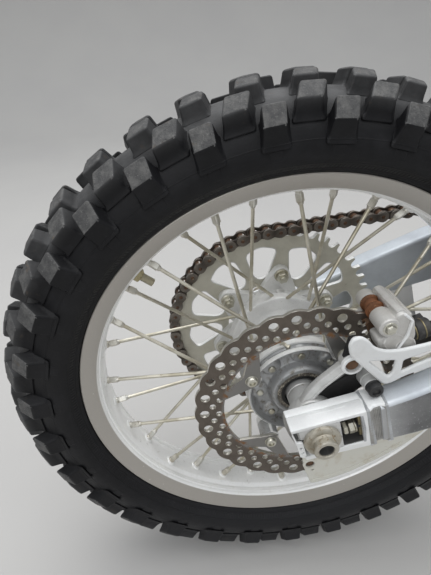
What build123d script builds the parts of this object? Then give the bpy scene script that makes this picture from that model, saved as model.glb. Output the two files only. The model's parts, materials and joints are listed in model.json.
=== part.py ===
from build123d import *
from math import acos, asin, atan2, ceil, cos, degrees, hypot, pi, radians, sin, sqrt, tan
import os

# Rear wheel and swing arm assembly of an off-road motorcycle, in millimetres.
# Frame: origin on the swing arm's pivot axis at the centre plane, +X forward, +Y left, +Z up.
# Wheel shapes are drawn round the axle as (radius, y). Arm shapes are drawn from the axle
# as (u, w): u runs forward along the arm towards the pivot, w is square to it and upward.

# Swing arm
ARM_LENGTH = 585.0
ARM_SLOPE = 13.0
ARM_INNER = 94.0
ARM_OUTER = 120.0
END_BACK = -28.5
END_FRONT = 60.0
END_TOP = 22.0
END_BOTTOM = -26.0
END_RAKE = 9.0
WINDOW_BACK = -24.0
WINDOW_FRONT = 42.0
WINDOW_TOP = 17.5
WINDOW_BOTTOM = -20.5
WINDOW_DEPTH = 17.0
SLOT_TRAVEL = 12.0
BEAM_CORNER = 5.0
CAST_BACK = 372.0
CAST_FRONT = 452.0
CAST_TOP = 46.0
CAST_BOTTOM = -32.0
FORK_GAP = 124.0
PIVOT_BOSS_R = 26.0
PIVOT_BOSS_LENGTH = 44.0
PIVOT_BUSH_R = 14.0
PIVOT_BOLT_R = 8.5
BUSH_LIP = 3.0
LINK_U = 404.0
LINK_DROP = 26.0
LINK_GAP = 34.0
LINK_EAR = 14.0
LINK_BOLT_R = 6.0
LINK_EAR_R = 15.0

# Axle and its adjusters
AXLE_R = 12.0
AXLE_BORE_R = 7.5
AXLE_HEAD_R = 18.5
AXLE_HEAD_LENGTH = 8.5
AXLE_STUB = 3.5
AXLE_NUT_FLATS = 32.0
AXLE_NUT_LENGTH = 12.0
BLOCK_LENGTH = 40.0
BLOCK_BACK = -18.0
ADJUSTER_R = 4.0
ADJUSTER_W = -3.0
NUT_FLATS = 17.0
LOCKNUT_FLATS = 15.0
RUNNING_FIT = 0.05
SEAT_GAP = 0.2

# Wheel
BEAD_R = 228.5
FLANGE_R = 241.5
RIM_HALF = 34.0
RIM_WALL = 3.0
WELL_R = 217.5
WELL_HALF = 9.0
LIP_R = 222.6
LIP_HALF = 22.0
TYRE_R = 327.0
TREAD_ROUND = 58.0
CARCASS_CENTRE_R = TYRE_R - 65.0
CARCASS_HALF = 49.0
SIDE_KNOBS = 31
SIDE_KNOB_HALF = 2.5
SHOULDER_FIRST = 74.4
SHOULDER_KNOB_Y = 40.0
SHOULDER_FOOT_Y = 48.0
SHOULDER_TOP_Y = 53.5
MIDDLE_KNOB_Y = 25.0
CENTRE_KNOBS = 40
CENTRE_KNOB_HALF = 2.2
CENTRE_FIRST = 72.9
CENTRE_KNOB_Y = 20.0
SPOKE_COUNT = 32
SPOKE_R = 2.0
SPOKE_HUB_R = 56.0
SPOKE_PAIR_ANGLE = 3.6
SPOKE_SWING = 33.75
SPOKE_FIRST = 90.75
NIPPLE_R = 3.4
NIPPLE_LENGTH = 15.0
RIM_LOCK_ANGLE = 141.4
VALVE_ANGLE = 332.6

# Hub, brake disc and sprocket
HUB_FLANGE_R = 62.0
HUB_FLANGE_Y = 40.0
HUB_FLANGE_HALF = 6.0
HUB_WAIST_R = 34.0
HUB_FACE = 58.0
HUB_BORE_R = 21.0
SEAL_R = 27.0
SEAL_DEPTH = 6.0
SPACER_R = 17.5
DISC_Y = -68.0
DISC_HALF = 2.0
DISC_R = 118.5
DISC_BAND_R = 88.0
DISC_SCALLOPS = 12
DISC_BOLTS = 4
DISC_BOLT_R = 69.0
DISC_BOLT_FIRST = 59.0
SPROCKET_Y = 79.0
SPROCKET_HALF = 3.0
SPROCKET_TEETH = 52
SPROCKET_BOLT_R = 75.0
SPROCKET_BOLTS = 6
SPROCKET_BOLT_FIRST = 24.0
LOBE_THICK = 10.0

# Chain and drive sprocket
PITCH = 15.875
ROLLER_R = 5.08
DRIVE_TEETH = 13
DRIVE_AHEAD = 70.0
DRIVE_BORE_R = 11.0
CHAIN_GAP = 11.0
PLATE_THICK = 3.6
PLATE_HEIGHT = 15.0
CHAIN_SEAT = 0.3
GUIDE_ROOM = 2.0

# Brake
PAD_THICK = 4.4
PAD_GAP = 0.3
CALIPER_OUT = -98.0
CALIPER_IN = -48.0
BRACKET_IN = -82.0
BRACKET_OUT = -92.0
GUARD_IN = -101.0
GUARD_THICK = 4.0
FIN_THICK = 3.0
CAP_R = 9.0
PAD_PIN = (83.5, 95.5)
SLIDE_PIN = (61.5, 32.0)
LUG_RING = (47.5, 57.0)
GUARD_LUG = (54.0, 91.0)

AXLE_X = -ARM_LENGTH * cos(radians(ARM_SLOPE))
AXLE_Z = -ARM_LENGTH * sin(radians(ARM_SLOPE))
ON_WHEEL = Pos(AXLE_X, 0, AXLE_Z)
ON_ARM = ON_WHEEL * Rot(0, -ARM_SLOPE, 0)
REAR_PITCH_R = PITCH / 2 / sin(pi / SPROCKET_TEETH)
DRIVE_PITCH_R = PITCH / 2 / sin(pi / DRIVE_TEETH)
DRIVE_U = ARM_LENGTH + DRIVE_AHEAD

os.makedirs("parts", exist_ok=True)


def save(node, shape):
    export_step(shape, "parts/" + node + ".step")


def together(solids):
    return Compound(children=list(solids))


def polar(r, angle):
    return (r * cos(radians(angle)), r * sin(radians(angle)))


def turned(points):
    """A solid of revolution about Y from (radius, y) points."""
    outline = make_face(Polyline(*points, close=True))
    return revolve(outline, axis=Axis.Y, revolution_arc=360)


def rod(r, y0, y1, u=0.0, w=0.0):
    """A cylinder along Y between two y values."""
    return Pos(u, (y0 + y1) / 2, w) * Rot(90, 0, 0) * Cylinder(r, abs(y1 - y0))


def ring(r_out, r_in, y0, y1, u=0.0, w=0.0):
    low, high = min(y0, y1), max(y0, y1)
    return rod(r_out, low, high, u, w) - rod(r_in, low - 1, high + 1, u, w)


def plane_at(y):
    return Plane(origin=(0, y, 0), x_dir=(1, 0, 0), z_dir=(0, -1, 0))


def slab(sketch, y0, y1):
    """A flat outline in (u, w), made solid from y0 to y1."""
    return extrude(plane_at(max(y0, y1)) * sketch, abs(y1 - y0))


def polygon(points, corner=0.0):
    sketch = make_face(Polyline(*points, close=True))
    if corner > 0:
        sketch = fillet(sketch.vertices(), corner)
    return sketch


def disc(r, u=0.0, w=0.0):
    return Pos(u, w) * Circle(r)


def hulled(*circles):
    """The outline wrapped round two (radius, u, w) circles."""
    (r0, u0, w0), (r1, u1, w1) = circles
    span = hypot(u1 - u0, w1 - w0)
    lean = acos((r0 - r1) / span)
    along = atan2(w1 - w0, u1 - u0)
    edge = []
    for side in (1, -1):
        a = along + side * lean
        edge.append(((u0 + r0 * cos(a), w0 + r0 * sin(a)), (u1 + r1 * cos(a), w1 + r1 * sin(a))))
    web = polygon([edge[0][0], edge[0][1], edge[1][1], edge[1][0]])
    return disc(r0, u0, w0) + disc(r1, u1, w1) + web


def hexagon(flats, length):
    return extrude(RegularPolygon(flats / 2, 6, major_radius=False), length)


def hex_y(flats, y0, y1, u=0.0, w=0.0):
    return slab(Pos(u, w) * RegularPolygon(flats / 2, 6, major_radius=False), y0, y1)


def box(u0, u1, y0, y1, w0, w1):
    return Pos((u0 + u1) / 2, (y0 + y1) / 2, (w0 + w1) / 2) * Box(abs(u1 - u0), abs(y1 - y0), abs(w1 - w0))


def strut(r, start, end):
    """A round bar between two points."""
    a = Vector(*start)
    b = Vector(*end)
    along = b - a
    base = Plane(origin=a, z_dir=along)
    return extrude(base * Circle(r), along.length)


def carcass(y):
    """The carcass's radius at a y value: its section is part of a circle."""
    return CARCASS_CENTRE_R + sqrt(CARCASS_HALF ** 2 - y ** 2)


def tread(y):
    """The radius of the knobs' tops at a y value."""
    return TYRE_R - 0.5 - TREAD_ROUND + sqrt(TREAD_ROUND ** 2 - y ** 2)


def on_ring(r, y, angle):
    x, z = polar(r, angle)
    return Vector(x, y, z)


def ring_points(r, y, angles):
    """Places on one ring of the tyre, in order round the axle."""
    return [on_ring(r, y, a) for a in sorted(a % 360 for a in angles)]


def turn_of(point):
    return degrees(atan2(point.Z, point.X)) % 360


def belt(one, other):
    """Triangles between two rings that have different numbers of points."""
    faces = []
    i = j = 0
    n, m = len(one), len(other)
    while i < n or j < m:
        a, b = one[i % n], other[j % m]
        next_a = turn_of(one[(i + 1) % n]) + 360 * ((i + 1) // n)
        next_b = turn_of(other[(j + 1) % m]) + 360 * ((j + 1) // m)
        if j == m or (i < n and next_a <= next_b):
            faces.append((a, one[(i + 1) % n], b))
            i += 1
        else:
            faces.append((a, other[(j + 1) % m], b))
            j += 1
    return faces


def knob(angle, half, feet, tops):
    """Top and walls of a knob: its two feet and two tops are (radius, y) places."""
    foot = [[on_ring(r, y, angle + lean * half) for lean in (-1, 1)] for r, y in feet]
    top = [[on_ring(r, y, angle + lean * half) for lean in (-1, 1)] for r, y in tops]
    return [(top[0][0], top[0][1], top[1][1], top[1][0]), (foot[0][0], foot[0][1], top[0][1], top[0][0]),
            (foot[1][0], foot[1][1], top[1][1], top[1][0]), (foot[0][0], top[0][0], top[1][0], foot[1][0]),
            (foot[0][1], top[0][1], top[1][1], foot[1][1])]


def edges_of(first, count, half):
    """Angles of both ends of every knob in a row."""
    return [first + 360.0 / count * k + lean * half for k in range(count) for lean in (-1, 1)]


def row_of_knobs(first, count, half, feet, tops, low_extra, high_extra):
    """A row of knobs and the carcass between them, with further points on either edge."""
    faces = []
    step = 360.0 / count
    for k in range(count):
        angle = first + step * k
        faces += knob(angle, half, feet, tops)
        sides = []
        for (r, y), extra in zip(feet, (low_extra, high_extra)):
            turns = [angle + half, *[angle + lean for lean in extra], angle + step - half]
            sides.append([on_ring(r, y, a) for a in turns])
        long, short = (sides[0], sides[1]) if len(sides[0]) > len(sides[1]) else (sides[1], sides[0])
        if len(long) == len(short):
            faces.append((long[0], long[1], short[1], short[0]))
        else:
            for i in range(len(long) - 1):
                faces.append((long[i], long[i + 1], short[0] if i < len(long) // 2 else short[-1]))
            faces.append((short[0], short[1], long[len(long) // 2]))
    return faces


def tyre():
    """A faceted skin: sidewalls of plain rings, and a tread whose knobs are part of the same skin."""
    step = 360.0 / SIDE_KNOBS
    plain = [step * k for k in range(SIDE_KNOBS)]
    top_r = tread(CENTRE_KNOB_Y) + 1.5
    foot = (carcass(CENTRE_KNOB_Y), CENTRE_KNOB_Y)
    faces = row_of_knobs(CENTRE_FIRST, CENTRE_KNOBS, CENTRE_KNOB_HALF, [(foot[0], -foot[1]), foot],
                         [(top_r, -CENTRE_KNOB_Y), (top_r, CENTRE_KNOB_Y)], [], [])
    wall = [(BEAD_R + 1.5, 19), (BEAD_R + 1.5, 28), (FLANGE_R + 1.5, 30.6), (FLANGE_R + 3, 36.5),
            (CARCASS_CENTRE_R - 3, CARCASS_HALF)]
    others = [step / 2 - SIDE_KNOB_HALF, step / 2 + SIDE_KNOB_HALF]
    for side in (-1, 1):
        shoulder_first = SHOULDER_FIRST + (0 if side < 0 else step / 2)
        middle_first = shoulder_first + step / 2
        inner, outer, edge = [(carcass(y), side * y) for y in (MIDDLE_KNOB_Y, SHOULDER_KNOB_Y, SHOULDER_FOOT_Y)]
        middle_tops = [(tread(y), side * y) for y in (MIDDLE_KNOB_Y + 1, SHOULDER_KNOB_Y + 2)]
        shoulder_tops = [(tread(y), side * y) for y in (SHOULDER_KNOB_Y + 3, SHOULDER_TOP_Y)]
        faces += belt(ring_points(foot[0], side * foot[1], edges_of(CENTRE_FIRST, CENTRE_KNOBS, CENTRE_KNOB_HALF)),
                      ring_points(*inner, edges_of(middle_first, SIDE_KNOBS, SIDE_KNOB_HALF)))
        faces += row_of_knobs(middle_first, SIDE_KNOBS, SIDE_KNOB_HALF, [inner, outer], middle_tops, [], others)
        faces += row_of_knobs(shoulder_first, SIDE_KNOBS, SIDE_KNOB_HALF, [outer, edge], shoulder_tops, others, [])
        rings = [ring_points(r, side * y, plain) for r, y in wall]
        faces += belt(ring_points(*edge, edges_of(shoulder_first, SIDE_KNOBS, SIDE_KNOB_HALF)), rings[-1])
        faces += ring_faces(rings)
    loop = [wall[0], (CARCASS_CENTRE_R + 24, 27), (CARCASS_CENTRE_R + 24, -27), (wall[0][0], -wall[0][1])]
    faces += ring_faces([ring_points(r, y, plain) for r, y in loop])
    return Solid(Shell([Face(Wire.make_polygon(corners, close=True)) for corners in faces]))


def ring_faces(rings):
    """Plain faces between rings that have the same number of points."""
    faces = []
    for low, high in zip(rings, rings[1:]):
        for k in range(len(low)):
            n = (k + 1) % len(low)
            faces.append((low[k], low[n], high[n], high[k]))
    return faces


def rim():
    wall = RIM_WALL
    outer = [(FLANGE_R, RIM_HALF - wall), (BEAD_R + 2, RIM_HALF - wall - 1), (BEAD_R, RIM_HALF - wall - 3),
             (BEAD_R - 0.6, 18), (WELL_R + wall, WELL_HALF + 2)]
    inner = [(WELL_R, WELL_HALF), (LIP_R, LIP_HALF), (LIP_R + 2, LIP_HALF + 5), (FLANGE_R, RIM_HALF)]
    section = [(r, y) for r, y in outer] + [(r, -y) for r, y in reversed(outer)]
    section += [(r, -y) for r, y in reversed(inner)] + [(r, y) for r, y in inner]
    return turned(reversed(section))


def spoke_lines():
    """Hub and rim points of every spoke: side, lean, start, end."""
    pairs = SPOKE_COUNT // 4
    lines = []
    for side in (1, -1):
        for k in range(pairs):
            middle = SPOKE_FIRST + 360.0 / pairs * k + (0 if side > 0 else 90.0 / pairs)
            for lean in (1, -1):
                hub_y = side * (HUB_FLANGE_Y + 3.5 * lean)
                rim_y = side * (4 + 2.2 * lean)
                hx, hz = polar(SPOKE_HUB_R, middle + lean * SPOKE_PAIR_ANGLE)
                rx, rz = polar(WELL_R, middle + lean * SPOKE_SWING)
                lines.append((side, lean, Vector(hx, hub_y, hz), Vector(rx, rim_y, rz)))
    return lines


def spokes():
    bars = []
    for side, lean, start, end in spoke_lines():
        along = (end - start).normalized()
        bars.append(strut(SPOKE_R, start, end - along * (NIPPLE_LENGTH - 4)))
    return bars


def nipples():
    bodies = []
    for side, lean, start, end in spoke_lines():
        along = (end - start).normalized()
        outward = Vector(end.X, 0, end.Z).normalized()
        lean_back = NIPPLE_R * tan(acos(along.dot(outward))) + SEAT_GAP
        body = strut(NIPPLE_R, end - along * NIPPLE_LENGTH, end - along * lean_back)
        bodies.append(body - strut(SPOKE_R + RUNNING_FIT, start, end - along * (NIPPLE_LENGTH - 4)))
    return bodies


def hub():
    flange_in = HUB_FLANGE_Y - HUB_FLANGE_HALF
    flange_out = HUB_FLANGE_Y + HUB_FLANGE_HALF
    right = [(HUB_BORE_R, -HUB_FACE + SEAL_DEPTH), (SEAL_R, -HUB_FACE + SEAL_DEPTH), (SEAL_R, -HUB_FACE),
             (SEAL_R + 7, -HUB_FACE), (HUB_FLANGE_R - 8, -flange_out - 3), (HUB_FLANGE_R, -flange_out),
             (HUB_FLANGE_R, -flange_in), (HUB_FLANGE_R - 12, -flange_in + 2)]
    left = [(HUB_WAIST_R, 0), (HUB_FLANGE_R - 12, flange_in - 2), (HUB_FLANGE_R, flange_in),
            (HUB_FLANGE_R, flange_out), (HUB_FLANGE_R - 10, flange_out + 6),
            (HUB_FLANGE_R - 10, SPROCKET_Y - SPROCKET_HALF), (HUB_BORE_R, SPROCKET_Y - SPROCKET_HALF)]
    body = turned(right + left)
    back = SPROCKET_Y - SPROCKET_HALF
    for k in range(SPROCKET_BOLTS):
        u, w = polar(SPROCKET_BOLT_R, SPROCKET_BOLT_FIRST + 60 * k)
        body += slab(hulled((24, 0.62 * u, 0.62 * w), (11, u, w)), back - LOBE_THICK, back)
    for k in range(DISC_BOLTS):
        u, w = polar(DISC_BOLT_R, DISC_BOLT_FIRST + 90 * k)
        body += slab(hulled((12, 0.84 * u, 0.84 * w), (10, u, w)), DISC_Y + DISC_HALF, -flange_in - 4)
    body -= rod(HUB_BORE_R, -HUB_FACE - 20, SPROCKET_Y + 20)
    body -= rod(SEAL_R, -HUB_FACE - 20, -HUB_FACE + SEAL_DEPTH)
    for side, lean, start, end in spoke_lines():
        along = (end - start).normalized()
        body -= strut(SPOKE_R + RUNNING_FIT, start - along * 8, start + along * 30)
    for k in range(SPROCKET_BOLTS):
        body -= rod(4.0, back - 30, back + 1, *polar(SPROCKET_BOLT_R, SPROCKET_BOLT_FIRST + 60 * k))
    return body


def brake_disc():
    points = []
    steps = 6
    for k in range(DISC_SCALLOPS * steps):
        a = 360.0 / (DISC_SCALLOPS * steps) * k
        points.append(polar(DISC_R + 2.2 * cos(radians(a * DISC_SCALLOPS)), a))
    plate = polygon(points) - disc(DISC_BAND_R)
    for k in range(DISC_BOLTS):
        a = DISC_BOLT_FIRST + 90 * k
        u, w = polar(DISC_BOLT_R, a)
        for lean in (-1, 1):
            fu, fw = polar(DISC_BAND_R + 4, a + 20 * lean)
            plate += hulled((9.5, u, w), (5, fu, fw))
    for k in range(DISC_SCALLOPS * 2):
        a = 360.0 / (DISC_SCALLOPS * 2) * k
        plate -= disc(4.6, *polar(DISC_R - 7.5, a))
        plate -= disc(3.4, *polar(DISC_R - 17.0, a + 5))
        plate -= disc(3.4, *polar(DISC_R - 24.5, a - 3))
    for k in range(DISC_BOLTS):
        plate -= disc(4.0 + SEAT_GAP, *polar(DISC_BOLT_R, DISC_BOLT_FIRST + 90 * k))
    return slab(plate, DISC_Y - DISC_HALF, DISC_Y + DISC_HALF)


def disc_bolts():
    bolts = []
    for k in range(DISC_BOLTS):
        u, w = polar(DISC_BOLT_R, DISC_BOLT_FIRST + 90 * k)
        head = rod(7.5, DISC_Y - DISC_HALF - 4.5, DISC_Y - DISC_HALF, u, w)
        socket = hex_y(6, DISC_Y - DISC_HALF - 5, DISC_Y - DISC_HALF - 2, u, w)
        bolts.append(head - socket + rod(4.0, DISC_Y - DISC_HALF, DISC_Y + DISC_HALF, u, w))
    return bolts


def sprocket():
    points = []
    root_r = REAR_PITCH_R - ROLLER_R
    tip_r = REAR_PITCH_R + 4.2
    tooth = 360.0 / SPROCKET_TEETH
    for k in range(SPROCKET_TEETH):
        for r, share in ((root_r, -0.14), (root_r, 0.14), (REAR_PITCH_R - 1, 0.3), (tip_r, 0.44),
                         (tip_r, 0.56), (REAR_PITCH_R - 1, 0.7)):
            points.append(polar(r, tooth * (k + share)))
    plate = polygon(points) - disc(HUB_FLANGE_R - 4)
    for k in range(SPROCKET_BOLTS):
        middle = SPROCKET_BOLT_FIRST + 60 * k
        plate -= disc(4.0 + SEAT_GAP, *polar(SPROCKET_BOLT_R, middle))
        for lean in (-1, 1):
            a = middle + 30 + 15 * lean
            corners = [polar(112, a - 11 * lean), polar(114, a + 10 * lean), polar(82, a - 5 * lean)]
            plate -= polygon(corners, 5)
    return slab(plate, SPROCKET_Y - SPROCKET_HALF, SPROCKET_Y + SPROCKET_HALF)


def sprocket_bolts():
    bolts = []
    back = SPROCKET_Y - SPROCKET_HALF
    front = SPROCKET_Y + SPROCKET_HALF
    for k in range(SPROCKET_BOLTS):
        u, w = polar(SPROCKET_BOLT_R, SPROCKET_BOLT_FIRST + 60 * k)
        nut_back = back - LOBE_THICK
        bolt = rod(8.5, nut_back - 1.5, nut_back, u, w) + hex_y(13, nut_back - 9, nut_back - 1.5, u, w)
        bolt += rod(4.0 - RUNNING_FIT, nut_back - 12, front, u, w) + rod(7.5, front, front + 2.5, u, w)
        bolts.append(bolt)
    return bolts


def bearings():
    rings = []
    for y0, y1 in ((-HUB_FACE + SEAL_DEPTH, -HUB_FACE + SEAL_DEPTH + 12), (40, 52)):
        rings.append(ring(HUB_BORE_R, AXLE_R + RUNNING_FIT, y0, y1))
    return rings


def seals():
    right = ring(SEAL_R, SPACER_R + 2.0, -HUB_FACE + 0.6, -HUB_FACE + SEAL_DEPTH)
    left = ring(HUB_BORE_R, SPACER_R + 1.0, 60, 66)
    return [right, left]


def rim_lock():
    x, z = polar(WELL_R - SEAT_GAP, RIM_LOCK_ANGLE)
    reach = Vector(x, 0, z).normalized()
    foot = Vector(x, 0, z)
    bolt = strut(4.0, foot - reach * 22, foot)
    base = Plane(origin=foot - reach * 6, z_dir=reach)
    return bolt + extrude(base * RegularPolygon(7, 6, major_radius=False), 6) + extrude(base * Circle(9), 1.5)


def valve_stem():
    x, z = polar(WELL_R - SEAT_GAP, VALVE_ANGLE)
    reach = Vector(x, 0, z).normalized()
    foot = Vector(x, 0, z)
    return strut(4.2, foot - reach * 20, foot) + strut(6.0, foot - reach * 4, foot)


def axle():
    head_in = -ARM_OUTER
    head = [(0, head_in), (AXLE_HEAD_R, head_in), (AXLE_HEAD_R, head_in - 4.5),
            (AXLE_R + 1.5, head_in - AXLE_HEAD_LENGTH), (AXLE_R, head_in - AXLE_HEAD_LENGTH),
            (AXLE_R, head_in - AXLE_HEAD_LENGTH - AXLE_STUB + 1), (AXLE_R - 1, head_in - AXLE_HEAD_LENGTH - AXLE_STUB),
            (0, head_in - AXLE_HEAD_LENGTH - AXLE_STUB)]
    shaft = rod(AXLE_R, head_in, ARM_OUTER + AXLE_NUT_LENGTH + 6)
    return turned(head) + shaft - rod(AXLE_BORE_R, -ARM_OUTER - 20, ARM_OUTER + AXLE_NUT_LENGTH + 8)


def axle_nut():
    washer = ring(20, AXLE_R + RUNNING_FIT, ARM_OUTER, ARM_OUTER + 2.5)
    nut = hex_y(AXLE_NUT_FLATS, ARM_OUTER + 2.5, ARM_OUTER + 2.5 + AXLE_NUT_LENGTH)
    return washer + (nut - rod(AXLE_R + RUNNING_FIT, ARM_OUTER, ARM_OUTER + AXLE_NUT_LENGTH + 8))


def spacer(side):
    if side < 0:
        return ring(SPACER_R, AXLE_R + RUNNING_FIT, BRACKET_IN, -HUB_FACE + SEAL_DEPTH)
    return ring(SPACER_R, AXLE_R + RUNNING_FIT, 52, ARM_INNER)


def arm_end(side):
    back = [(END_BACK, END_TOP), (END_BACK + END_RAKE, END_BOTTOM), (END_FRONT, END_BOTTOM - 3), (END_FRONT, END_TOP)]
    body = slab(polygon(back), side * ARM_INNER, side * ARM_OUTER)
    floor_y = ARM_OUTER - WINDOW_DEPTH
    window = polygon([(WINDOW_BACK, WINDOW_TOP), (WINDOW_BACK + 6, WINDOW_BOTTOM), (WINDOW_FRONT, WINDOW_BOTTOM),
                      (WINDOW_FRONT, WINDOW_TOP)])
    body -= slab(window, side * floor_y, side * (ARM_OUTER + 5))
    travel = box(-SLOT_TRAVEL, SLOT_TRAVEL, side * (ARM_INNER - 2), side * (floor_y + 2), -AXLE_R - 0.6, AXLE_R + 0.6)
    for u in (-SLOT_TRAVEL, SLOT_TRAVEL):
        travel += rod(AXLE_R + 0.6, side * (ARM_INNER - 2), side * (floor_y + 2), u)
    return body - travel


def axle_block(side):
    floor_y = ARM_OUTER - WINDOW_DEPTH
    body = box(BLOCK_BACK, BLOCK_BACK + BLOCK_LENGTH, side * (floor_y + SEAT_GAP), side * ARM_OUTER,
               WINDOW_BOTTOM + SEAT_GAP, WINDOW_TOP - SEAT_GAP)
    body -= box(BLOCK_BACK - 1, BLOCK_BACK + 7, side * (floor_y - 1), side * (ARM_OUTER + 1), WINDOW_BOTTOM - 1, 4)
    return body - rod(AXLE_R + RUNNING_FIT, side * (floor_y - 5), side * (ARM_OUTER + 5))


def adjuster(side):
    y = side * (ARM_OUTER - WINDOW_DEPTH / 2)
    start = BLOCK_BACK + BLOCK_LENGTH
    base = Pos(start, y, ADJUSTER_W) * Rot(0, 90, 0)
    span = WINDOW_FRONT - start
    nut = Pos(0, 0, 5) * hexagon(NUT_FLATS * 0.85, 8)
    lock = Pos(0, 0, span - 6) * hexagon(LOCKNUT_FLATS * 0.9, 5.8)
    return base * (Pos(0, 0, span / 2) * Cylinder(ADJUSTER_R, span) + nut + lock)


def beam(side):
    """Columns: u, inner y, outer y, bottom w, top w."""
    stations = [(END_FRONT, ARM_INNER, ARM_OUTER, -29, 22),
                (92, ARM_INNER, ARM_OUTER, -30, 25),
                (235, ARM_INNER, ARM_OUTER, -26, 49),
                (CAST_BACK, 90, 116, CAST_BOTTOM, CAST_TOP)]
    body = Part()
    sections = []
    for u, inner, outer, low, high in stations:
        face = RectangleRounded(outer - inner, high - low, BEAM_CORNER)
        middle = Plane(origin=(u, side * (inner + outer) / 2, (low + high) / 2), x_dir=(0, 1, 0), z_dir=(1, 0, 0))
        sections.append(middle * face)
    return body + loft(sections, ruled=True)


def casting():
    cross = box(CAST_BACK, CAST_FRONT, -116, 116, CAST_BOTTOM, CAST_TOP)
    well = slab(polygon([(CAST_BACK + 14, CAST_BOTTOM - 1), (CAST_BACK + 22, CAST_TOP - 16),
                         (CAST_FRONT - 22, CAST_TOP - 16), (CAST_FRONT - 14, CAST_BOTTOM - 1)]), -50, 50)
    body = cross - well
    for side in (-1, 1):
        sections = []
        for u, inner, outer, low, high in ((CAST_FRONT, FORK_GAP / 2, 116, CAST_BOTTOM, CAST_TOP),
                                           (ARM_LENGTH - 24, FORK_GAP / 2, FORK_GAP / 2 + PIVOT_BOSS_LENGTH, -22, 24)):
            face = Rectangle(outer - inner, high - low)
            middle = Plane(origin=(u, side * (inner + outer) / 2, (low + high) / 2), x_dir=(0, 1, 0), z_dir=(1, 0, 0))
            sections.append(middle * face)
        body += loft(sections, ruled=True)
        y0 = side * FORK_GAP / 2
        body += rod(PIVOT_BOSS_R, y0, y0 + side * PIVOT_BOSS_LENGTH, ARM_LENGTH)
    for side in (-1, 1):
        y0 = side * LINK_GAP / 2
        ear = hulled((LINK_EAR_R, LINK_U, CAST_BOTTOM - LINK_DROP), (26, LINK_U + 8, CAST_BOTTOM + 14))
        body += slab(ear, y0, y0 + side * LINK_EAR)
    body -= rod(PIVOT_BUSH_R, -200, 200, ARM_LENGTH)
    body -= rod(LINK_BOLT_R, -80, 80, LINK_U, CAST_BOTTOM - LINK_DROP)
    return body


def pivot_bush(side):
    y0 = side * FORK_GAP / 2
    y1 = y0 + side * PIVOT_BOSS_LENGTH
    body = ring(PIVOT_BUSH_R, PIVOT_BOLT_R, y0 - side * BUSH_LIP, y1 + side * BUSH_LIP, ARM_LENGTH)
    body += ring(PIVOT_BUSH_R + 6, PIVOT_BOLT_R, y0 - side * BUSH_LIP, y0, ARM_LENGTH)
    return body + ring(PIVOT_BUSH_R + 6, PIVOT_BOLT_R, y1, y1 + side * BUSH_LIP, ARM_LENGTH)


def chain_path():
    """Tangent angle of the two runs and the length of one run, between the sprockets."""
    lean = asin((REAR_PITCH_R - DRIVE_PITCH_R) / DRIVE_U)
    return lean, DRIVE_U * cos(lean)


def loop_outline(offset):
    """The chain's loop at an offset from its pitch line, with one corner a pitch on the wraps."""
    lean, run = chain_path()
    points = []
    rear_steps = ceil((pi + 2 * lean) / (2 * pi / SPROCKET_TEETH))
    for k in range(rear_steps + 1):
        a = pi / 2 - lean + (pi + 2 * lean) * k / rear_steps
        points.append(((REAR_PITCH_R + offset) * cos(a), (REAR_PITCH_R + offset) * sin(a)))
    front_steps = ceil((pi - 2 * lean) / (2 * pi / DRIVE_TEETH))
    for k in range(front_steps + 1):
        a = -pi / 2 + lean + (pi - 2 * lean) * k / front_steps
        points.append((DRIVE_U + (DRIVE_PITCH_R + offset) * cos(a), (DRIVE_PITCH_R + offset) * sin(a)))
    return points


def chain():
    band = polygon(loop_outline(PLATE_HEIGHT / 2)) - polygon(loop_outline(-PLATE_HEIGHT / 2))
    body = Part()
    for side in (-1, 1):
        y0 = SPROCKET_Y + side * CHAIN_GAP / 2
        body += slab(band, y0, y0 + side * PLATE_THICK)
    lean, run = chain_path()
    first = sqrt((REAR_PITCH_R + 12) ** 2 - REAR_PITCH_R ** 2)
    last = sqrt((DRIVE_PITCH_R + 12) ** 2 - DRIVE_PITCH_R ** 2)
    count = int((run - first - last) / PITCH)
    for half in (1, -1):
        a = half * (pi / 2 - lean)
        foot = (REAR_PITCH_R * cos(a), REAR_PITCH_R * sin(a))
        for k in range(count + 1):
            s = first + PITCH * k
            u = foot[0] + s * cos(half * lean)
            w = foot[1] - s * sin(half * lean)
            roller = Pos(u, w) * RegularPolygon(ROLLER_R, 6)
            body += slab(roller, SPROCKET_Y - CHAIN_GAP / 2, SPROCKET_Y + CHAIN_GAP / 2)
    return body


def drive_sprocket():
    points = []
    tooth = 360.0 / DRIVE_TEETH
    for k in range(DRIVE_TEETH):
        for r, share in ((DRIVE_PITCH_R - ROLLER_R, -0.14), (DRIVE_PITCH_R - ROLLER_R, 0.14),
                         (DRIVE_PITCH_R + 4, 0.42), (DRIVE_PITCH_R + 4, 0.58)):
            points.append(polar(r, tooth * (k + share)))
    plate = slab(polygon(points), SPROCKET_Y - CHAIN_GAP / 2 + SEAT_GAP, SPROCKET_Y + CHAIN_GAP / 2 - SEAT_GAP)
    body = plate + rod(17, SPROCKET_Y - 7, SPROCKET_Y + 7)
    return Pos(DRIVE_U, 0, 0) * (body - rod(DRIVE_BORE_R, SPROCKET_Y - 20, SPROCKET_Y + 20))


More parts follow.
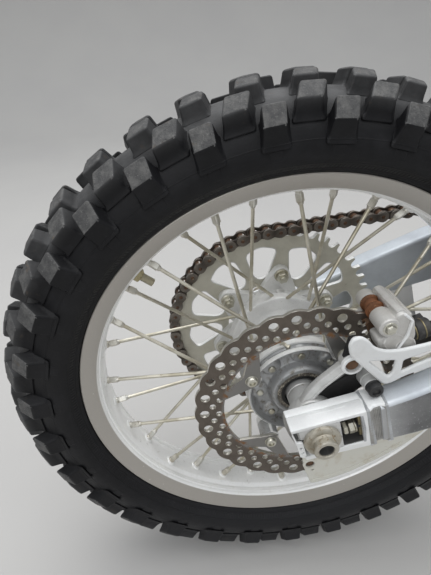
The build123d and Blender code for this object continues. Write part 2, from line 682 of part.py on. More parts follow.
def chain_slider():
    """A strip over, round and under the left fork, inside the chain's loop."""
    y0 = FORK_GAP / 2 + 8
    y1 = FORK_GAP / 2 + 34
    wrap = disc(PIVOT_BOSS_R + 4.5, ARM_LENGTH) - disc(PIVOT_BOSS_R + 0.2, ARM_LENGTH)
    wrap -= polygon([(ARM_LENGTH - 60, -60), (ARM_LENGTH - 60, 60), (ARM_LENGTH, 60), (ARM_LENGTH, -60)])
    top = polygon([(CAST_FRONT, CAST_TOP + 0.2), (ARM_LENGTH, PIVOT_BOSS_R + 0.2),
                   (ARM_LENGTH, PIVOT_BOSS_R + 4.5), (CAST_FRONT, CAST_TOP + 4.5)])
    bottom = polygon([(CAST_FRONT, CAST_BOTTOM - 0.2), (ARM_LENGTH, -PIVOT_BOSS_R - 0.2),
                      (ARM_LENGTH, -PIVOT_BOSS_R - 4.5), (CAST_FRONT, CAST_BOTTOM - 4.5)])
    return slab(wrap + top + bottom, y0, y1)


def chain_guide():
    """A bracket under the left beam and the block that the lower run passes through."""
    lean = chain_path()[0]
    u0, u1 = 168, 212

    def under_beam(u):
        return -30 + (u - 92) * 4 / 143 - SEAT_GAP

    def run(u):
        return -REAR_PITCH_R / cos(lean) + tan(lean) * u

    plate = slab(polygon([(u0, under_beam(u0)), (u1 - 6, under_beam(u1 - 6)), (u1, run(u1) - 14),
                          (u0 + 8, run(u0 + 8) - 14)]), 98, 102)
    foot = slab(polygon([(u0, under_beam(u0)), (u1 - 6, under_beam(u1 - 6)), (u1 - 6, under_beam(u1 - 6) - 5),
                         (u0, under_beam(u0) - 5)]), 98, 114)
    block = slab(polygon([(u0, run(u0) - 20), (u1 + 4, run(u1 + 4) - 20), (u1 + 4, run(u1 + 4) + 18),
                          (u0, run(u0) + 18)]), SPROCKET_Y - 15, 98)
    low = PLATE_HEIGHT / 2 / cos(lean) + CHAIN_SEAT
    high = PLATE_HEIGHT / 2 / cos(lean) + GUIDE_ROOM
    block -= slab(polygon([(u0 - 9, run(u0 - 9) - low), (u1 + 9, run(u1 + 9) - low), (u1 + 9, run(u1 + 9) + high),
                           (u0 - 9, run(u0 - 9) + high)]), SPROCKET_Y - 11, SPROCKET_Y + 11)
    return plate + foot, block


def caliper_bracket():
    sketch = hulled((24, 0, 0), (10.5, *LUG_RING)) + hulled((10.4, *LUG_RING), (11, *SLIDE_PIN))
    sketch += hulled((10.4, *LUG_RING), (8, *GUARD_LUG))
    body = slab(sketch, BRACKET_IN, BRACKET_OUT) + rod(22, BRACKET_OUT, -ARM_INNER)
    body -= rod(AXLE_R + RUNNING_FIT, -200, 0)
    body -= rod(5.5, -200, 0, *LUG_RING)
    return body


def caliper():
    """Two halves joined by a bridge over the disc, with the pin's housing behind them."""
    outline = [(91, 107), (99, 107), (108, 96), (108, 76), (97, 57), (86, 54), (73, 70), (71, 84), (90, 87)]
    body = slab(polygon(outline, 2.5), CALIPER_OUT, CALIPER_IN)
    housing = hulled((10, *PAD_PIN), (10, 92, 82))
    body += slab(housing, CALIPER_OUT, -78)
    body += slab(hulled((9, *PAD_PIN), (9, 92, 84)), -56, CALIPER_IN)
    body += rod(10, -78, -64, *PAD_PIN) + rod(9, CALIPER_IN, CALIPER_IN + 4, *PAD_PIN)
    body += box(96, 108, CALIPER_OUT + 5, CALIPER_OUT + 21, 62, 80)
    slot = rod(DISC_R + 6, DISC_Y - DISC_HALF - PAD_GAP - PAD_THICK, DISC_Y + DISC_HALF + PAD_GAP + PAD_THICK)
    return body - slot - rod(9, -64, -56, *PAD_PIN)


def brake_pads():
    shape = polygon([(84, 86), (96, 76), (92, 60), (85, 57), (73, 74), (72, 84)], 3)
    inner = DISC_Y + DISC_HALF + PAD_GAP
    outer = DISC_Y - DISC_HALF - PAD_GAP
    return [slab(shape, inner, inner + PAD_THICK), slab(shape, outer, outer - PAD_THICK)]


def slide_pin():
    return rod(8.5, BRACKET_OUT, BRACKET_OUT - 5, *SLIDE_PIN)


def pin_cap():
    return rod(CAP_R, BRACKET_OUT - 5, BRACKET_OUT - 15, *SLIDE_PIN)


def pin_boot():
    return rod(8, -56 - SEAT_GAP, -64 + SEAT_GAP, *PAD_PIN)


def hose_fitting():
    base = Pos(108 + SEAT_GAP, CALIPER_OUT + 13, 71) * Rot(0, 90, 0)
    return base * (Pos(0, 0, 5) * Cylinder(8, 10) + Pos(0, 0, 16) * Cylinder(10, 12))


def caliper_guard():
    outline = [(43, 80), (43, 93), (47, 99), (55, 100), (62, 93), (66, 83), (76, 75), (90, 71), (119, 69), (150, 74),
               (168, 66), (168, 54), (150, 50), (118, 38.5), (93, 37), (78, 32), (70, 33), (64, 44), (50, 68)]
    sketch = polygon(outline) - polygon([(62, 67), (83, 60), (77, 44), (74, 45)]) - disc(CAP_R + 0.6, *SLIDE_PIN)
    sketch -= polygon([(92, 58), (106, 57), (102, 47), (90, 45)])
    body = slab(sketch, GUARD_IN, GUARD_IN - GUARD_THICK)
    return body + rod(7, GUARD_IN, BRACKET_OUT, *GUARD_LUG)


def disc_guard():
    outline = [(-19, -20), (-19, -78), (-20, -93), (-16.3, -125), (6.8, -125), (31.5, -122), (68, -111), (98, -98),
               (122, -83), (118, -70), (60, -30), (30, -20)]
    sketch = polygon(outline) - disc(5, -12.3, -88)
    body = slab(sketch - disc(SPACER_R + 1.5), BRACKET_IN, BRACKET_IN + FIN_THICK)
    return body


NODES = {
    "tyre": ON_WHEEL * tyre(),
    "rim": ON_WHEEL * rim(),
    "spokes": ON_WHEEL * together(spokes()),
    "nipples": ON_WHEEL * together(nipples()),
    "hub": ON_WHEEL * hub(),
    "brake_disc": ON_WHEEL * brake_disc(),
    "disc_bolts": ON_WHEEL * together(disc_bolts()),
    "sprocket": ON_WHEEL * sprocket(),
    "sprocket_bolts": ON_WHEEL * together(sprocket_bolts()),
    "wheel_bearings": ON_WHEEL * together(bearings()),
    "wheel_seals": ON_WHEEL * together(seals()),
    "rim_lock": ON_WHEEL * rim_lock(),
    "valve_stem": ON_WHEEL * valve_stem(),
    "axle": ON_WHEEL * axle(),
    "axle_nut": ON_WHEEL * axle_nut(),
    "arm_casting": ON_ARM * casting(),
    "chain": ON_ARM * chain(),
    "chain_slider": ON_ARM * chain_slider(),
    "drive_sprocket": ON_ARM * drive_sprocket(),
    "caliper_bracket": ON_ARM * caliper_bracket(),
    "caliper": ON_ARM * caliper(),
    "brake_pads": ON_ARM * together(brake_pads()),
    "slide_pin": ON_ARM * slide_pin(),
    "pin_cap": ON_ARM * pin_cap(),
    "pin_boot": ON_ARM * pin_boot(),
    "hose_fitting": ON_ARM * hose_fitting(),
    "caliper_guard": ON_ARM * caliper_guard(),
    "disc_guard": ON_ARM * disc_guard(),
}
for name, side in (("right", -1), ("left", 1)):
    NODES["arm_end_" + name] = ON_ARM * arm_end(side)
    NODES["beam_" + name] = ON_ARM * beam(side)
    NODES["axle_block_" + name] = ON_ARM * axle_block(side)
    NODES["adjuster_" + name] = ON_ARM * adjuster(side)
    NODES["pivot_bush_" + name] = ON_ARM * pivot_bush(side)
    NODES["spacer_" + name] = ON_WHEEL * spacer(side)
bracket, block = chain_guide()
NODES["chain_guide_bracket"] = ON_ARM * bracket
NODES["chain_guide"] = ON_ARM * block

for node, shape in NODES.items():
    save(node, shape)
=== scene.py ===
import json
import random
from math import acos, asin, atan2, cos, degrees, hypot, pi, radians, sin, sqrt

import bpy
import bmesh
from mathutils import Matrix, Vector


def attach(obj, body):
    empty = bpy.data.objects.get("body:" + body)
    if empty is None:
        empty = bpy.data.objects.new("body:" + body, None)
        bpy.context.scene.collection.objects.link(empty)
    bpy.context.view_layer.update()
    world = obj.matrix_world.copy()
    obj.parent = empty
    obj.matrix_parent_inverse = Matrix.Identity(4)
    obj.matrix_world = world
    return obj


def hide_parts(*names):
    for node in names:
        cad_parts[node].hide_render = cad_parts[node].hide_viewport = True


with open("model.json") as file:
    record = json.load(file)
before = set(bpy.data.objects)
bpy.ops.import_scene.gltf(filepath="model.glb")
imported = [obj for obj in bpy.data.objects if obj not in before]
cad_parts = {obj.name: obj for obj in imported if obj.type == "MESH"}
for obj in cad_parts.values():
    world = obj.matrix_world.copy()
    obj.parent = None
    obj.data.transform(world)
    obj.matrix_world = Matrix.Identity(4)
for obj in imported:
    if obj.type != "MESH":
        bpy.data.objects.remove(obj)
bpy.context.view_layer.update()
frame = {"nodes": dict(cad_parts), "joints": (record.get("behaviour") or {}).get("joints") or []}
random.seed(7)

# Places in millimetres. Wheel shapes are (radius, y) or (x, y, z) from the axle.
# Arm shapes are (u, y, w): u runs forward along the arm from the axle, w is square to it, upward.
MM = 0.001
AXLE = Vector(frame["joints"][0]["pos_m"]) / MM
ARM_SLOPE = radians(13)
ARM_LENGTH = 585.0
WHEEL = "wheel"
ARM = "swing_arm"

# Tyre and rim
TYRE_R = 327.0
TREAD_ROUND = 58.0
CARCASS_CENTRE_R = TYRE_R - 65
CARCASS_HALF = 49.0
SIDE_LUGS = 31
SHOULDER_FIRST = 74.4
CENTRE_LUGS = 40
CENTRE_FIRST = 72.9
FLANGE_R = 241.5
BEAD_R = 228.5
WELL_R = 217.5
LIP_R = 222.6

# Spokes
SPOKE_PAIRS = 8
SPOKE_FIRST = 90.75
SPOKE_SWING = 33.75
SPOKE_PAIR_ANGLE = 3.6
SPOKE_HUB_R = 56.0
SPOKE_R = 2.0
HUB_FLANGE_Y = 40.0
NIPPLE_LENGTH = 15.0
RIM_LOCK_ANGLE = 141.4
VALVE_ANGLE = 332.6

# Hub, disc, sprocket and chain
HUB_FACE = 58.0
DISC_Y = -68.0
DISC_HALF = 2.0
DISC_R = 118.5
DISC_BAND_R = 88.0
DISC_HOLES = 30
DISC_HOLE_FIRST = 2.8
DISC_BOLTS = 4
DISC_BOLT_R = 69.0
DISC_BOLT_FIRST = 59.0
HUB_BOLTS = 8
HUB_BOLT_R = 42.0
SPROCKET_Y = 79.0
SPROCKET_TEETH = 52
SPROCKET_BOLTS = 6
SPROCKET_BOLT_R = 75.0
SPROCKET_BOLT_FIRST = 24.0
LOBE_THICK = 10.0
PITCH = 15.875
ROLLER_R = 5.08
DRIVE_TEETH = 13
DRIVE_U = ARM_LENGTH + 70.0
REAR_PITCH_R = PITCH / 2 / sin(pi / SPROCKET_TEETH)
DRIVE_PITCH_R = PITCH / 2 / sin(pi / DRIVE_TEETH)

# Arm, axle and brake
ARM_INNER = 94.0
ARM_OUTER = 120.0
AXLE_R = 12.0
SLIDE_PIN = (61.5, 32.0)
PAD_PIN = (83.5, 95.5)
LUG_RING = (47.5, 57.0)
GUARD_LUG = (54.0, 91.0)
BRACKET_IN = -82.0
BRACKET_OUT = -92.0
GUARD_IN = -101.0
CALIPER_OUT = -98.0
CALIPER_IN = -48.0

# Camera and floor
CAMERA_PLACE = Vector((-138.3, -405.3, 371.0))
CAMERA_TURN = (61.98, 2.75, -5.27)
CAMERA_LENS = 27.85
CAMERA_SHIFT = (0.0453, -0.0627)
FLOOR_Z = AXLE.z - TYRE_R
SKY_LOW = (0.26, 0.265, 0.27)
SKY_HIGH = (0.94, 0.97, 1.0)
SKY_STRENGTH = 1.0


def polar(r, angle):
    return (r * cos(radians(angle)), r * sin(radians(angle)))


def on_wheel(p):
    return Vector((AXLE.x + p[0], p[1], AXLE.z + p[2])) * MM


def on_arm(p):
    u, y, w = p
    x = u * cos(ARM_SLOPE) - w * sin(ARM_SLOPE)
    z = u * sin(ARM_SLOPE) + w * cos(ARM_SLOPE)
    return Vector((AXLE.x + x, y, AXLE.z + z)) * MM


class Form:
    """Points in millimetres, faces and the finish of each face."""

    def __init__(self):
        self.points = []
        self.faces = []
        self.marks = []

    def add(self, points, faces, mark=0):
        start = len(self.points)
        self.points += [tuple(p) for p in points]
        self.faces += [[start + k for k in face] for face in faces]
        self.marks += mark if isinstance(mark, list) else [mark] * len(faces)

    def lathe(self, profile, steps=64, mark=0, centre=(0, 0), closed=True, wave=None):
        """A closed (radius, y) outline turned about an axis along Y."""
        count = len(profile)
        points = []
        for k in range(steps):
            a = 360.0 / steps * k
            for r, y in profile:
                extra = wave(a, r, y) if wave else 0.0
                x, z = polar(r + extra, a)
                points.append((centre[0] + x, y, centre[1] + z))
        faces = []
        last = count if closed else count - 1
        for k in range(steps):
            for j in range(last):
                a, b = k * count, (k + 1) % steps * count
                i = (j + 1) % count
                faces.append([a + j, a + i, b + i, b + j])
        self.add(points, faces, mark)

    def rings(self, sections, mark=0, caps=True, loop=False):
        """A skin over sections of equal point counts."""
        count = len(sections[0])
        points = [p for section in sections for p in section]
        faces = []
        spans = len(sections) if loop else len(sections) - 1
        for k in range(spans):
            a, b = k * count, (k + 1) % len(sections) * count
            for j in range(count):
                i = (j + 1) % count
                faces.append([a + j, a + i, b + i, b + j])
        if caps and not loop:
            faces.append(list(range(count)))
            faces.append([(len(sections) - 1) * count + j for j in reversed(range(count))])
        self.add(points, faces, mark)

    def prism(self, outline, y0, y1, mark=0, taper=1.0):
        """An outline in the plane across Y, made solid between two y values."""
        mu = sum(p[0] for p in outline) / len(outline)
        mw = sum(p[1] for p in outline) / len(outline)
        far = [(mu + (u - mu) * taper, y1, mw + (w - mw) * taper) for u, w in outline]
        self.rings([[(u, y0, w) for u, w in outline], far], mark)

    def hexagon(self, flats, y0, y1, centre=(0, 0), mark=0, turn=0.0):
        r = flats / 2 / cos(radians(30))
        low, high = min(y0, y1), max(y0, y1)
        profile = [(r * 0.93, low), (r, low + 1), (r, high - 1), (r * 0.93, high)]
        sections = []
        for radius, y in profile:
            corners = [polar(radius, turn + 60 * k) for k in range(6)]
            sections.append([(centre[0] + x, y, centre[1] + z) for x, z in corners])
        self.rings(sections, mark)

    def bar(self, start, end, r0, r1=None, steps=12, mark=0):
        """A round bar between two points, tapered if it has two radii."""
        a, b = Vector(start), Vector(end)
        r1 = r0 if r1 is None else r1
        along = (b - a).normalized()
        side = along.orthogonal().normalized()
        other = along.cross(side)
        sections = []
        for p, r in ((a, r0), (b, r1)):
            ring = []
            for k in range(steps):
                t = 2 * pi * k / steps
                ring.append(p + side * (r * cos(t)) + other * (r * sin(t)))
            sections.append(ring)
        self.rings(sections, mark)

    def turned(self, start, along, profile, steps=20, mark=0):
        """A (radius, distance) outline turned about any line."""
        axis = Vector(along).normalized()
        side = axis.orthogonal().normalized()
        other = axis.cross(side)
        sections = []
        for r, s in profile:
            ring = []
            for k in range(steps):
                t = 2 * pi * k / steps
                ring.append(Vector(start) + axis * s + side * (r * cos(t)) + other * (r * sin(t)))
            sections.append(ring)
        self.rings(sections, mark)

    def bead(self, path, width, height, normal, pitch=4.0, mark=0):
        """A rippled weld bead laid along a path on a surface with one normal."""
        points = [Vector(p) for p in path]
        up = Vector(normal).normalized()
        sections = []
        travelled = 0.0
        for k in range(len(points) - 1):
            span = (points[k + 1] - points[k]).length
            steps = max(2, int(span / (pitch / 4)))
            for s in range(steps + (1 if k == len(points) - 2 else 0)):
                t = s / steps
                p = points[k].lerp(points[k + 1], t)
                along = (points[k + 1] - points[k]).normalized()
                side = up.cross(along).normalized()
                ripple = 0.86 + 0.14 * abs(cos(pi * (travelled + span * t) / pitch))
                ripple *= 0.94 + 0.06 * sin((travelled + span * t) * 1.7)
                ring = []
                for j in range(10):
                    a = 2 * pi * j / 10
                    ring.append(p + side * (width / 2 * ripple * cos(a)) + up * (height * ripple * sin(a)))
                sections.append(ring)
            travelled += span
        self.rings(sections, mark)


def plate(form, loops, y0, y1, edge=0.4, mark=0):
    """A flat plate with holes: the first loop is its outline, and the rest are cut from it."""
    curve = bpy.data.curves.new("plate_outline", "CURVE")
    curve.dimensions = "2D"
    curve.fill_mode = "BOTH"
    curve.extrude = abs(y1 - y0) / 2 - edge
    curve.bevel_depth = edge
    curve.bevel_resolution = 1
    curve.offset = -edge
    for loop in loops:
        spline = curve.splines.new("POLY")
        spline.points.add(len(loop) - 1)
        for point, (u, w) in zip(spline.points, loop):
            point.co = (u, w, 0, 1)
        spline.use_cyclic_u = True
    holder = bpy.data.objects.new("plate_outline", curve)
    mesh = bpy.data.meshes.new_from_object(holder)
    middle = (y0 + y1) / 2
    points = [(v.co.x, middle - v.co.z, v.co.y) for v in mesh.vertices]
    form.add(points, [list(p.vertices) for p in mesh.polygons], mark)
    bpy.data.objects.remove(holder)
    bpy.data.curves.remove(curve)
    bpy.data.meshes.remove(mesh)


def circle(r, centre=(0, 0), steps=24):
    return [(centre[0] + polar(r, 360.0 / steps * k)[0], centre[1] + polar(r, 360.0 / steps * k)[1])
            for k in range(steps)]


def rounded(points, radius, steps=4):
    """An outline with its corners rounded."""
    out = []
    count = len(points)
    for k in range(count):
        p = Vector(points[k])
        a = Vector(points[k - 1]) - p
        b = Vector(points[(k + 1) % count]) - p
        cut = min(radius, a.length * 0.45, b.length * 0.45)
        start, end = p + a.normalized() * cut, p + b.normalized() * cut
        for s in range(steps + 1):
            t = s / steps
            q = start.lerp(p, t).lerp(p.lerp(end, t), t)
            out.append((q.x, q.y))
    return out


def hulled(*circles, steps=14):
    """The outline wrapped round two (radius, u, w) circles."""
    (r0, u0, w0), (r1, u1, w1) = circles
    span = hypot(u1 - u0, w1 - w0)
    lean = degrees(acos((r0 - r1) / span))
    along = degrees(atan2(w1 - w0, u1 - u0))
    points = []
    for s in range(steps + 1):
        x, z = polar(r1, along - lean + 2 * lean * s / steps)
        points.append((u1 + x, w1 + z))
    for s in range(steps + 1):
        x, z = polar(r0, along + lean + (360 - 2 * lean) * s / steps)
        points.append((u0 + x, w0 + z))
    return points


def finish_piece(name, form, finishes, body, replaces=(), place=on_arm, bevel=0.0, crease=32, segments=2):
    """Makes a mesh object of a form, in metres, and lets it ride on its body."""
    mesh = bpy.data.meshes.new(name)
    mesh.from_pydata([place(p) for p in form.points], [], form.faces)
    mesh.polygons.foreach_set("material_index", form.marks)
    work = bmesh.new()
    work.from_mesh(mesh)
    bmesh.ops.recalc_face_normals(work, faces=work.faces)
    for face in work.faces:
        face.smooth = True
    for edge in work.edges:
        edge.smooth = len(edge.link_faces) == 2 and edge.calc_face_angle(0) < radians(crease)
    work.to_mesh(mesh)
    work.free()
    piece = bpy.data.objects.new(name, mesh)
    bpy.context.scene.collection.objects.link(piece)
    for finish in finishes:
        mesh.materials.append(finish)
    if bevel > 0:
        rounding = piece.modifiers.new("bevel", "BEVEL")
        rounding.width = bevel * MM
        rounding.segments = segments
        rounding.limit_method = "ANGLE"
        rounding.angle_limit = radians(crease)
        rounding.harden_normals = True
    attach(piece, body)
    if replaces:
        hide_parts(*replaces)
    return piece


class Finish:
    """A node material built up in layers of colour, roughness and relief."""

    def __init__(self, name, colour, metallic=0.0, rough=0.5, shine=0.5):
        self.material = bpy.data.materials.new(name)
        self.material.use_nodes = True
        self.tree = self.material.node_tree
        self.tree.nodes.clear()
        self.output = self.tree.nodes.new("ShaderNodeOutputMaterial")
        self.shader = self.tree.nodes.new("ShaderNodeBsdfPrincipled")
        self.link(self.shader.outputs[0], self.output.inputs[0])
        self.place = self.tree.nodes.new("ShaderNodeTexCoord").outputs["Object"]
        self.shader.inputs["Metallic"].default_value = metallic
        self.shader.inputs["Roughness"].default_value = rough
        self.shader.inputs["Specular IOR Level"].default_value = shine
        self.shader.inputs["Base Color"].default_value = (*colour, 1)
        self.colour = colour
        self.rough = rough
        self.metal = metallic
        self.height = None

    def link(self, a, b):
        self.tree.links.new(a, b)

    def node(self, kind, **values):
        made = self.tree.nodes.new(kind)
        for key, value in values.items():
            setattr(made, key, value)
        return made

    def put(self, socket, value):
        if isinstance(value, bpy.types.NodeSocket):
            self.link(value, socket)
        elif isinstance(value, tuple) and len(value) == 3 and socket.type == "RGBA":
            socket.default_value = (*value, 1)
        else:
            socket.default_value = value

    def math(self, operation, a, b=0.0, c=0.0):
        made = self.node("ShaderNodeMath", operation=operation)
        for socket, value in zip(made.inputs, (a, b, c)):
            self.put(socket, value)
        return made.outputs[0]

    def stretch(self, scale):
        made = self.node("ShaderNodeVectorMath", operation="MULTIPLY")
        self.link(self.place, made.inputs[0])
        made.inputs[1].default_value = scale
        return made.outputs[0]

    def noise(self, size, detail=4.0, rough=0.55, place=None, twist=0.0):
        """Noise with features of a size in millimetres."""
        made = self.node("ShaderNodeTexNoise")
        self.link(place or self.place, made.inputs["Vector"])
        made.inputs["Scale"].default_value = 1 / (size * MM)
        made.inputs["Detail"].default_value = detail
        made.inputs["Roughness"].default_value = rough
        made.inputs["Distortion"].default_value = twist
        return made.outputs[0]

    def cells(self, size, feature="F1"):
        made = self.node("ShaderNodeTexVoronoi", feature=feature)
        self.link(self.place, made.inputs["Vector"])
        made.inputs["Scale"].default_value = 1 / (size * MM)
        return made.outputs["Distance"]

    def band(self, value, low, high):
        """0 below low, 1 above high, smooth between."""
        made = self.node("ShaderNodeMapRange", interpolation_type="SMOOTHSTEP")
        self.put(made.inputs["Value"], value)
        made.inputs["From Min"].default_value = low
        made.inputs["From Max"].default_value = high
        return made.outputs["Result"]

    def mix(self, share, a, b):
        made = self.node("ShaderNodeMix", data_type="RGBA")
        self.put(made.inputs[0], share)
        self.put(made.inputs[6], a)
        self.put(made.inputs[7], b)
        return made.outputs[2]

    def split(self):
        made = self.node("ShaderNodeSeparateXYZ")
        self.link(self.place, made.inputs[0])
        return made.outputs

    def radius(self, centre=None):
        """Distance from a line along Y, in millimetres; the axle unless a centre is given."""
        at = centre or (AXLE.x, AXLE.z)
        x, y, z = self.split()
        dx = self.math("SUBTRACT", self.math("MULTIPLY", x, 1 / MM), at[0])
        dz = self.math("SUBTRACT", self.math("MULTIPLY", z, 1 / MM), at[1])
        return self.math("SQRT", self.math("ADD", self.math("MULTIPLY", dx, dx), self.math("MULTIPLY", dz, dz)))

    def angle(self):
        x, y, z = self.split()
        dx = self.math("SUBTRACT", self.math("MULTIPLY", x, 1 / MM), AXLE.x)
        dz = self.math("SUBTRACT", self.math("MULTIPLY", z, 1 / MM), AXLE.z)
        return self.math("ARCTAN2", dz, dx)

    def facing(self, axis=2):
        """How far the surface faces along an axis of the piece."""
        made = self.node("ShaderNodeTexCoord")
        apart = self.node("ShaderNodeSeparateXYZ")
        self.link(made.outputs["Normal"], apart.inputs[0])
        return apart.outputs[axis]

    def outward(self):
        """How far the surface faces straight out from the axle."""
        x, y, z = self.split()
        dx = self.math("SUBTRACT", x, AXLE.x * MM)
        dz = self.math("SUBTRACT", z, AXLE.z * MM)
        length = self.math("SQRT", self.math("ADD", self.math("MULTIPLY", dx, dx), self.math("MULTIPLY", dz, dz)))
        along = self.math("ADD", self.math("MULTIPLY", dx, self.facing(0)),
                          self.math("MULTIPLY", dz, self.facing(2)))
        return self.math("DIVIDE", along, length)

    def edge_pointiness(self):
        """High at outer edges, low in corners."""
        return self.node("ShaderNodeNewGeometry").outputs["Pointiness"]

    def lay(self, share, colour=None, rough=None, metal=None):
        """Another layer where share is high."""
        if colour is not None:
            self.colour = self.mix(share, self.colour, colour)
        if rough is not None:
            self.rough = self.math("ADD", self.math("MULTIPLY", self.math("SUBTRACT", 1.0, share), self.rough),
                                   self.math("MULTIPLY", share, rough))
        if metal is not None:
            self.metal = self.math("ADD", self.math("MULTIPLY", self.math("SUBTRACT", 1.0, share), self.metal),
                                   self.math("MULTIPLY", share, metal))
        return self

    def relief(self, height, depth):
        """Adds relief: height is 0 to 1, depth is in millimetres."""
        part = self.math("MULTIPLY", height, depth)
        self.height = part if self.height is None else self.math("ADD", self.height, part)
        return self

    def done(self):
        for name, value in (("Base Color", self.colour), ("Roughness", self.rough), ("Metallic", self.metal)):
            if isinstance(value, bpy.types.NodeSocket):
                self.link(value, self.shader.inputs[name])
        if self.height is not None:
            bump = self.node("ShaderNodeBump")
            bump.inputs["Distance"].default_value = MM
            self.link(self.height, bump.inputs["Height"])
            self.link(bump.outputs[0], self.shader.inputs["Normal"])
        return self.material


def tyre_finish():
    """Black rubber: dust and a painted sheen on the crown, fine rings and ribs at the bead."""
    f = Finish("tyre_rubber", (0.0075, 0.0075, 0.0085), rough=0.46, shine=0.2)
    r = f.radius()
    broad = f.noise(22, 5, 0.62)
    f.lay(f.band(broad, 0.45, 0.75), (0.013, 0.013, 0.0145), 0.55)
    # Painted light: the lower part of the tyre is made lighter, standing in for light thrown up from the ground.
    low = f.band(f.split()[2], AXLE.z * MM - 0.1, AXLE.z * MM - 0.3)
    f.lay(f.math("MULTIPLY", low, 0.8), (0.022, 0.022, 0.024), 0.5)
    # Painted sheen: the crown is made light grey, most where it faces outward; this is part dust and part a painted
    # stand-in for the sky's sheen on the rubber.
    crown = f.band(r, TYRE_R - 30, TYRE_R - 13)
    dust = f.math("MULTIPLY", crown, f.math("MULTIPLY_ADD", f.band(f.outward(), 0.2, 0.9), 0.6, 0.4))
    f.lay(f.math("MULTIPLY", dust, f.math("MULTIPLY_ADD", f.band(broad, 0.3, 0.7), 0.45, 0.5)),
          (0.125, 0.125, 0.126), 0.5)
    mud = f.math("MULTIPLY", f.band(f.noise(9, 5, 0.65), 0.62, 0.74), f.band(r, TYRE_R - 40, TYRE_R - 18))
    f.lay(f.math("MULTIPLY", mud, 0.35), (0.10, 0.075, 0.052), 0.85)
    scuffs = f.math("MULTIPLY", f.band(f.noise(2.4, 4, 0.7), 0.62, 0.72), 0.2)
    f.lay(scuffs, (0.04, 0.04, 0.04), 0.6)
    ribs = f.math("SINE", f.math("MULTIPLY", f.angle(), 420))
    f.relief(f.math("MULTIPLY", ribs, f.math("MULTIPLY", f.band(r, 252, 250.5), f.band(r, 247, 248))), 0.12)
    for at, width, depth in ((246.5, 0.8, 0.5), (253.2, 0.7, 0.4), (275.0, 0.7, 0.3)):
        f.relief(f.band(f.math("ABSOLUTE", f.math("SUBTRACT", r, at)), width, width / 2), depth)
    f.relief(f.noise(0.9, 6), 0.15)
    f.relief(f.noise(6.0, 4, 0.6), 0.4)
    return f.done()


def lug_top_finish():
    """The worn grey tops of the knobs, speckled with grit and scratched."""
    f = Finish("knob_tops", (0.056, 0.056, 0.057), rough=0.66, shine=0.35)
    f.lay(f.band(f.noise(9, 6, 0.68), 0.36, 0.7), (0.118, 0.116, 0.113), 0.78)
    f.lay(f.math("MULTIPLY", f.band(f.noise(1.6, 5, 0.7), 0.56, 0.68), 0.6), (0.20, 0.197, 0.19), 0.85)
    f.lay(f.math("MULTIPLY", f.band(f.noise(2.6, 6, 0.7), 0.58, 0.70), 0.8), (0.012, 0.012, 0.012), 0.6)
    f.lay(f.math("MULTIPLY", f.band(f.noise(13, 4, 0.6), 0.62, 0.72), 0.45), (0.12, 0.085, 0.055), 0.9)
    f.relief(f.noise(1.2, 6, 0.65), 0.45)
    f.relief(f.noise(3.4, 4), 0.6)
    return f.done()


def metal_finish(name, colour, dark, rough=0.4, metallic=1.0, grain=1.2, depth=0.12, patch=None, patch_size=12,
                 patch_from=0.55, patch_rough=0.8, patch_metal=0.2, broad=30, edge=None, streak=None, bare=None):
    """Metal with grain, broad stains, patches of rust or dirt, brighter edges and bare walls across Y."""
    f = Finish(name, colour, metallic, rough)
    f.lay(f.band(f.noise(broad, 5, 0.6), 0.35, 0.72), dark, min(1.0, rough + 0.15))
    f.lay(f.math("MULTIPLY", f.band(f.noise(grain, 5, 0.65), 0.5, 0.72), 0.5), dark)
    if streak:
        lines = f.noise(1.0, 3, 0.6, f.stretch(streak))
        f.lay(f.math("MULTIPLY", f.band(lines, 0.5, 0.7), 0.35), dark)
        f.relief(lines, depth * 0.6)
    if patch:
        share = f.band(f.noise(patch_size, 7, 0.68), patch_from, patch_from + 0.09)
        f.lay(share, patch, patch_rough, patch_metal)
        f.relief(share, depth * 0.8)
    if edge:
        f.lay(f.math("MULTIPLY", f.band(f.edge_pointiness(), 0.52, 0.6), 0.7), edge, rough * 0.8, metallic)
    if bare:
        f.lay(f.band(f.math("ABSOLUTE", f.facing(1)), 0.8, 0.5), bare, rough * 0.8)
    f.relief(f.noise(grain, 5, 0.6), depth)
    return f.done()


def rim_finish():
    f = Finish("rim_alloy", (0.95, 0.95, 0.94), 0.2, 0.28)
    r = f.radius()
    band = f.band(r, LIP_R + 1.4, LIP_R + 2.4)
    f.lay(f.math("MULTIPLY", f.band(f.noise(5, 5, 0.7), 0.5, 0.75), 0.3), (0.72, 0.71, 0.67), 0.42)
    f.lay(band, (0.43, 0.405, 0.37), 0.44, 0.5)
    f.lay(f.math("MULTIPLY", band, f.band(f.noise(2.0, 6, 0.7), 0.5, 0.75)), (0.46, 0.44, 0.41), 0.55)
    nicks = f.math("MULTIPLY", band, f.band(f.cells(14), 0.07, 0.03))
    f.lay(nicks, (0.62, 0.61, 0.58), 0.4, 0.8)
    dirt = f.math("MULTIPLY", f.band(f.noise(7, 6, 0.7), 0.6, 0.68), f.band(r, WELL_R + 5, WELL_R + 1))
    f.lay(f.math("MULTIPLY", dirt, 0.25), (0.20, 0.165, 0.12), 0.7, 0.3)
    f.relief(f.noise(0.8, 4), 0.03)
    f.relief(nicks, 0.2)
    return f.done()


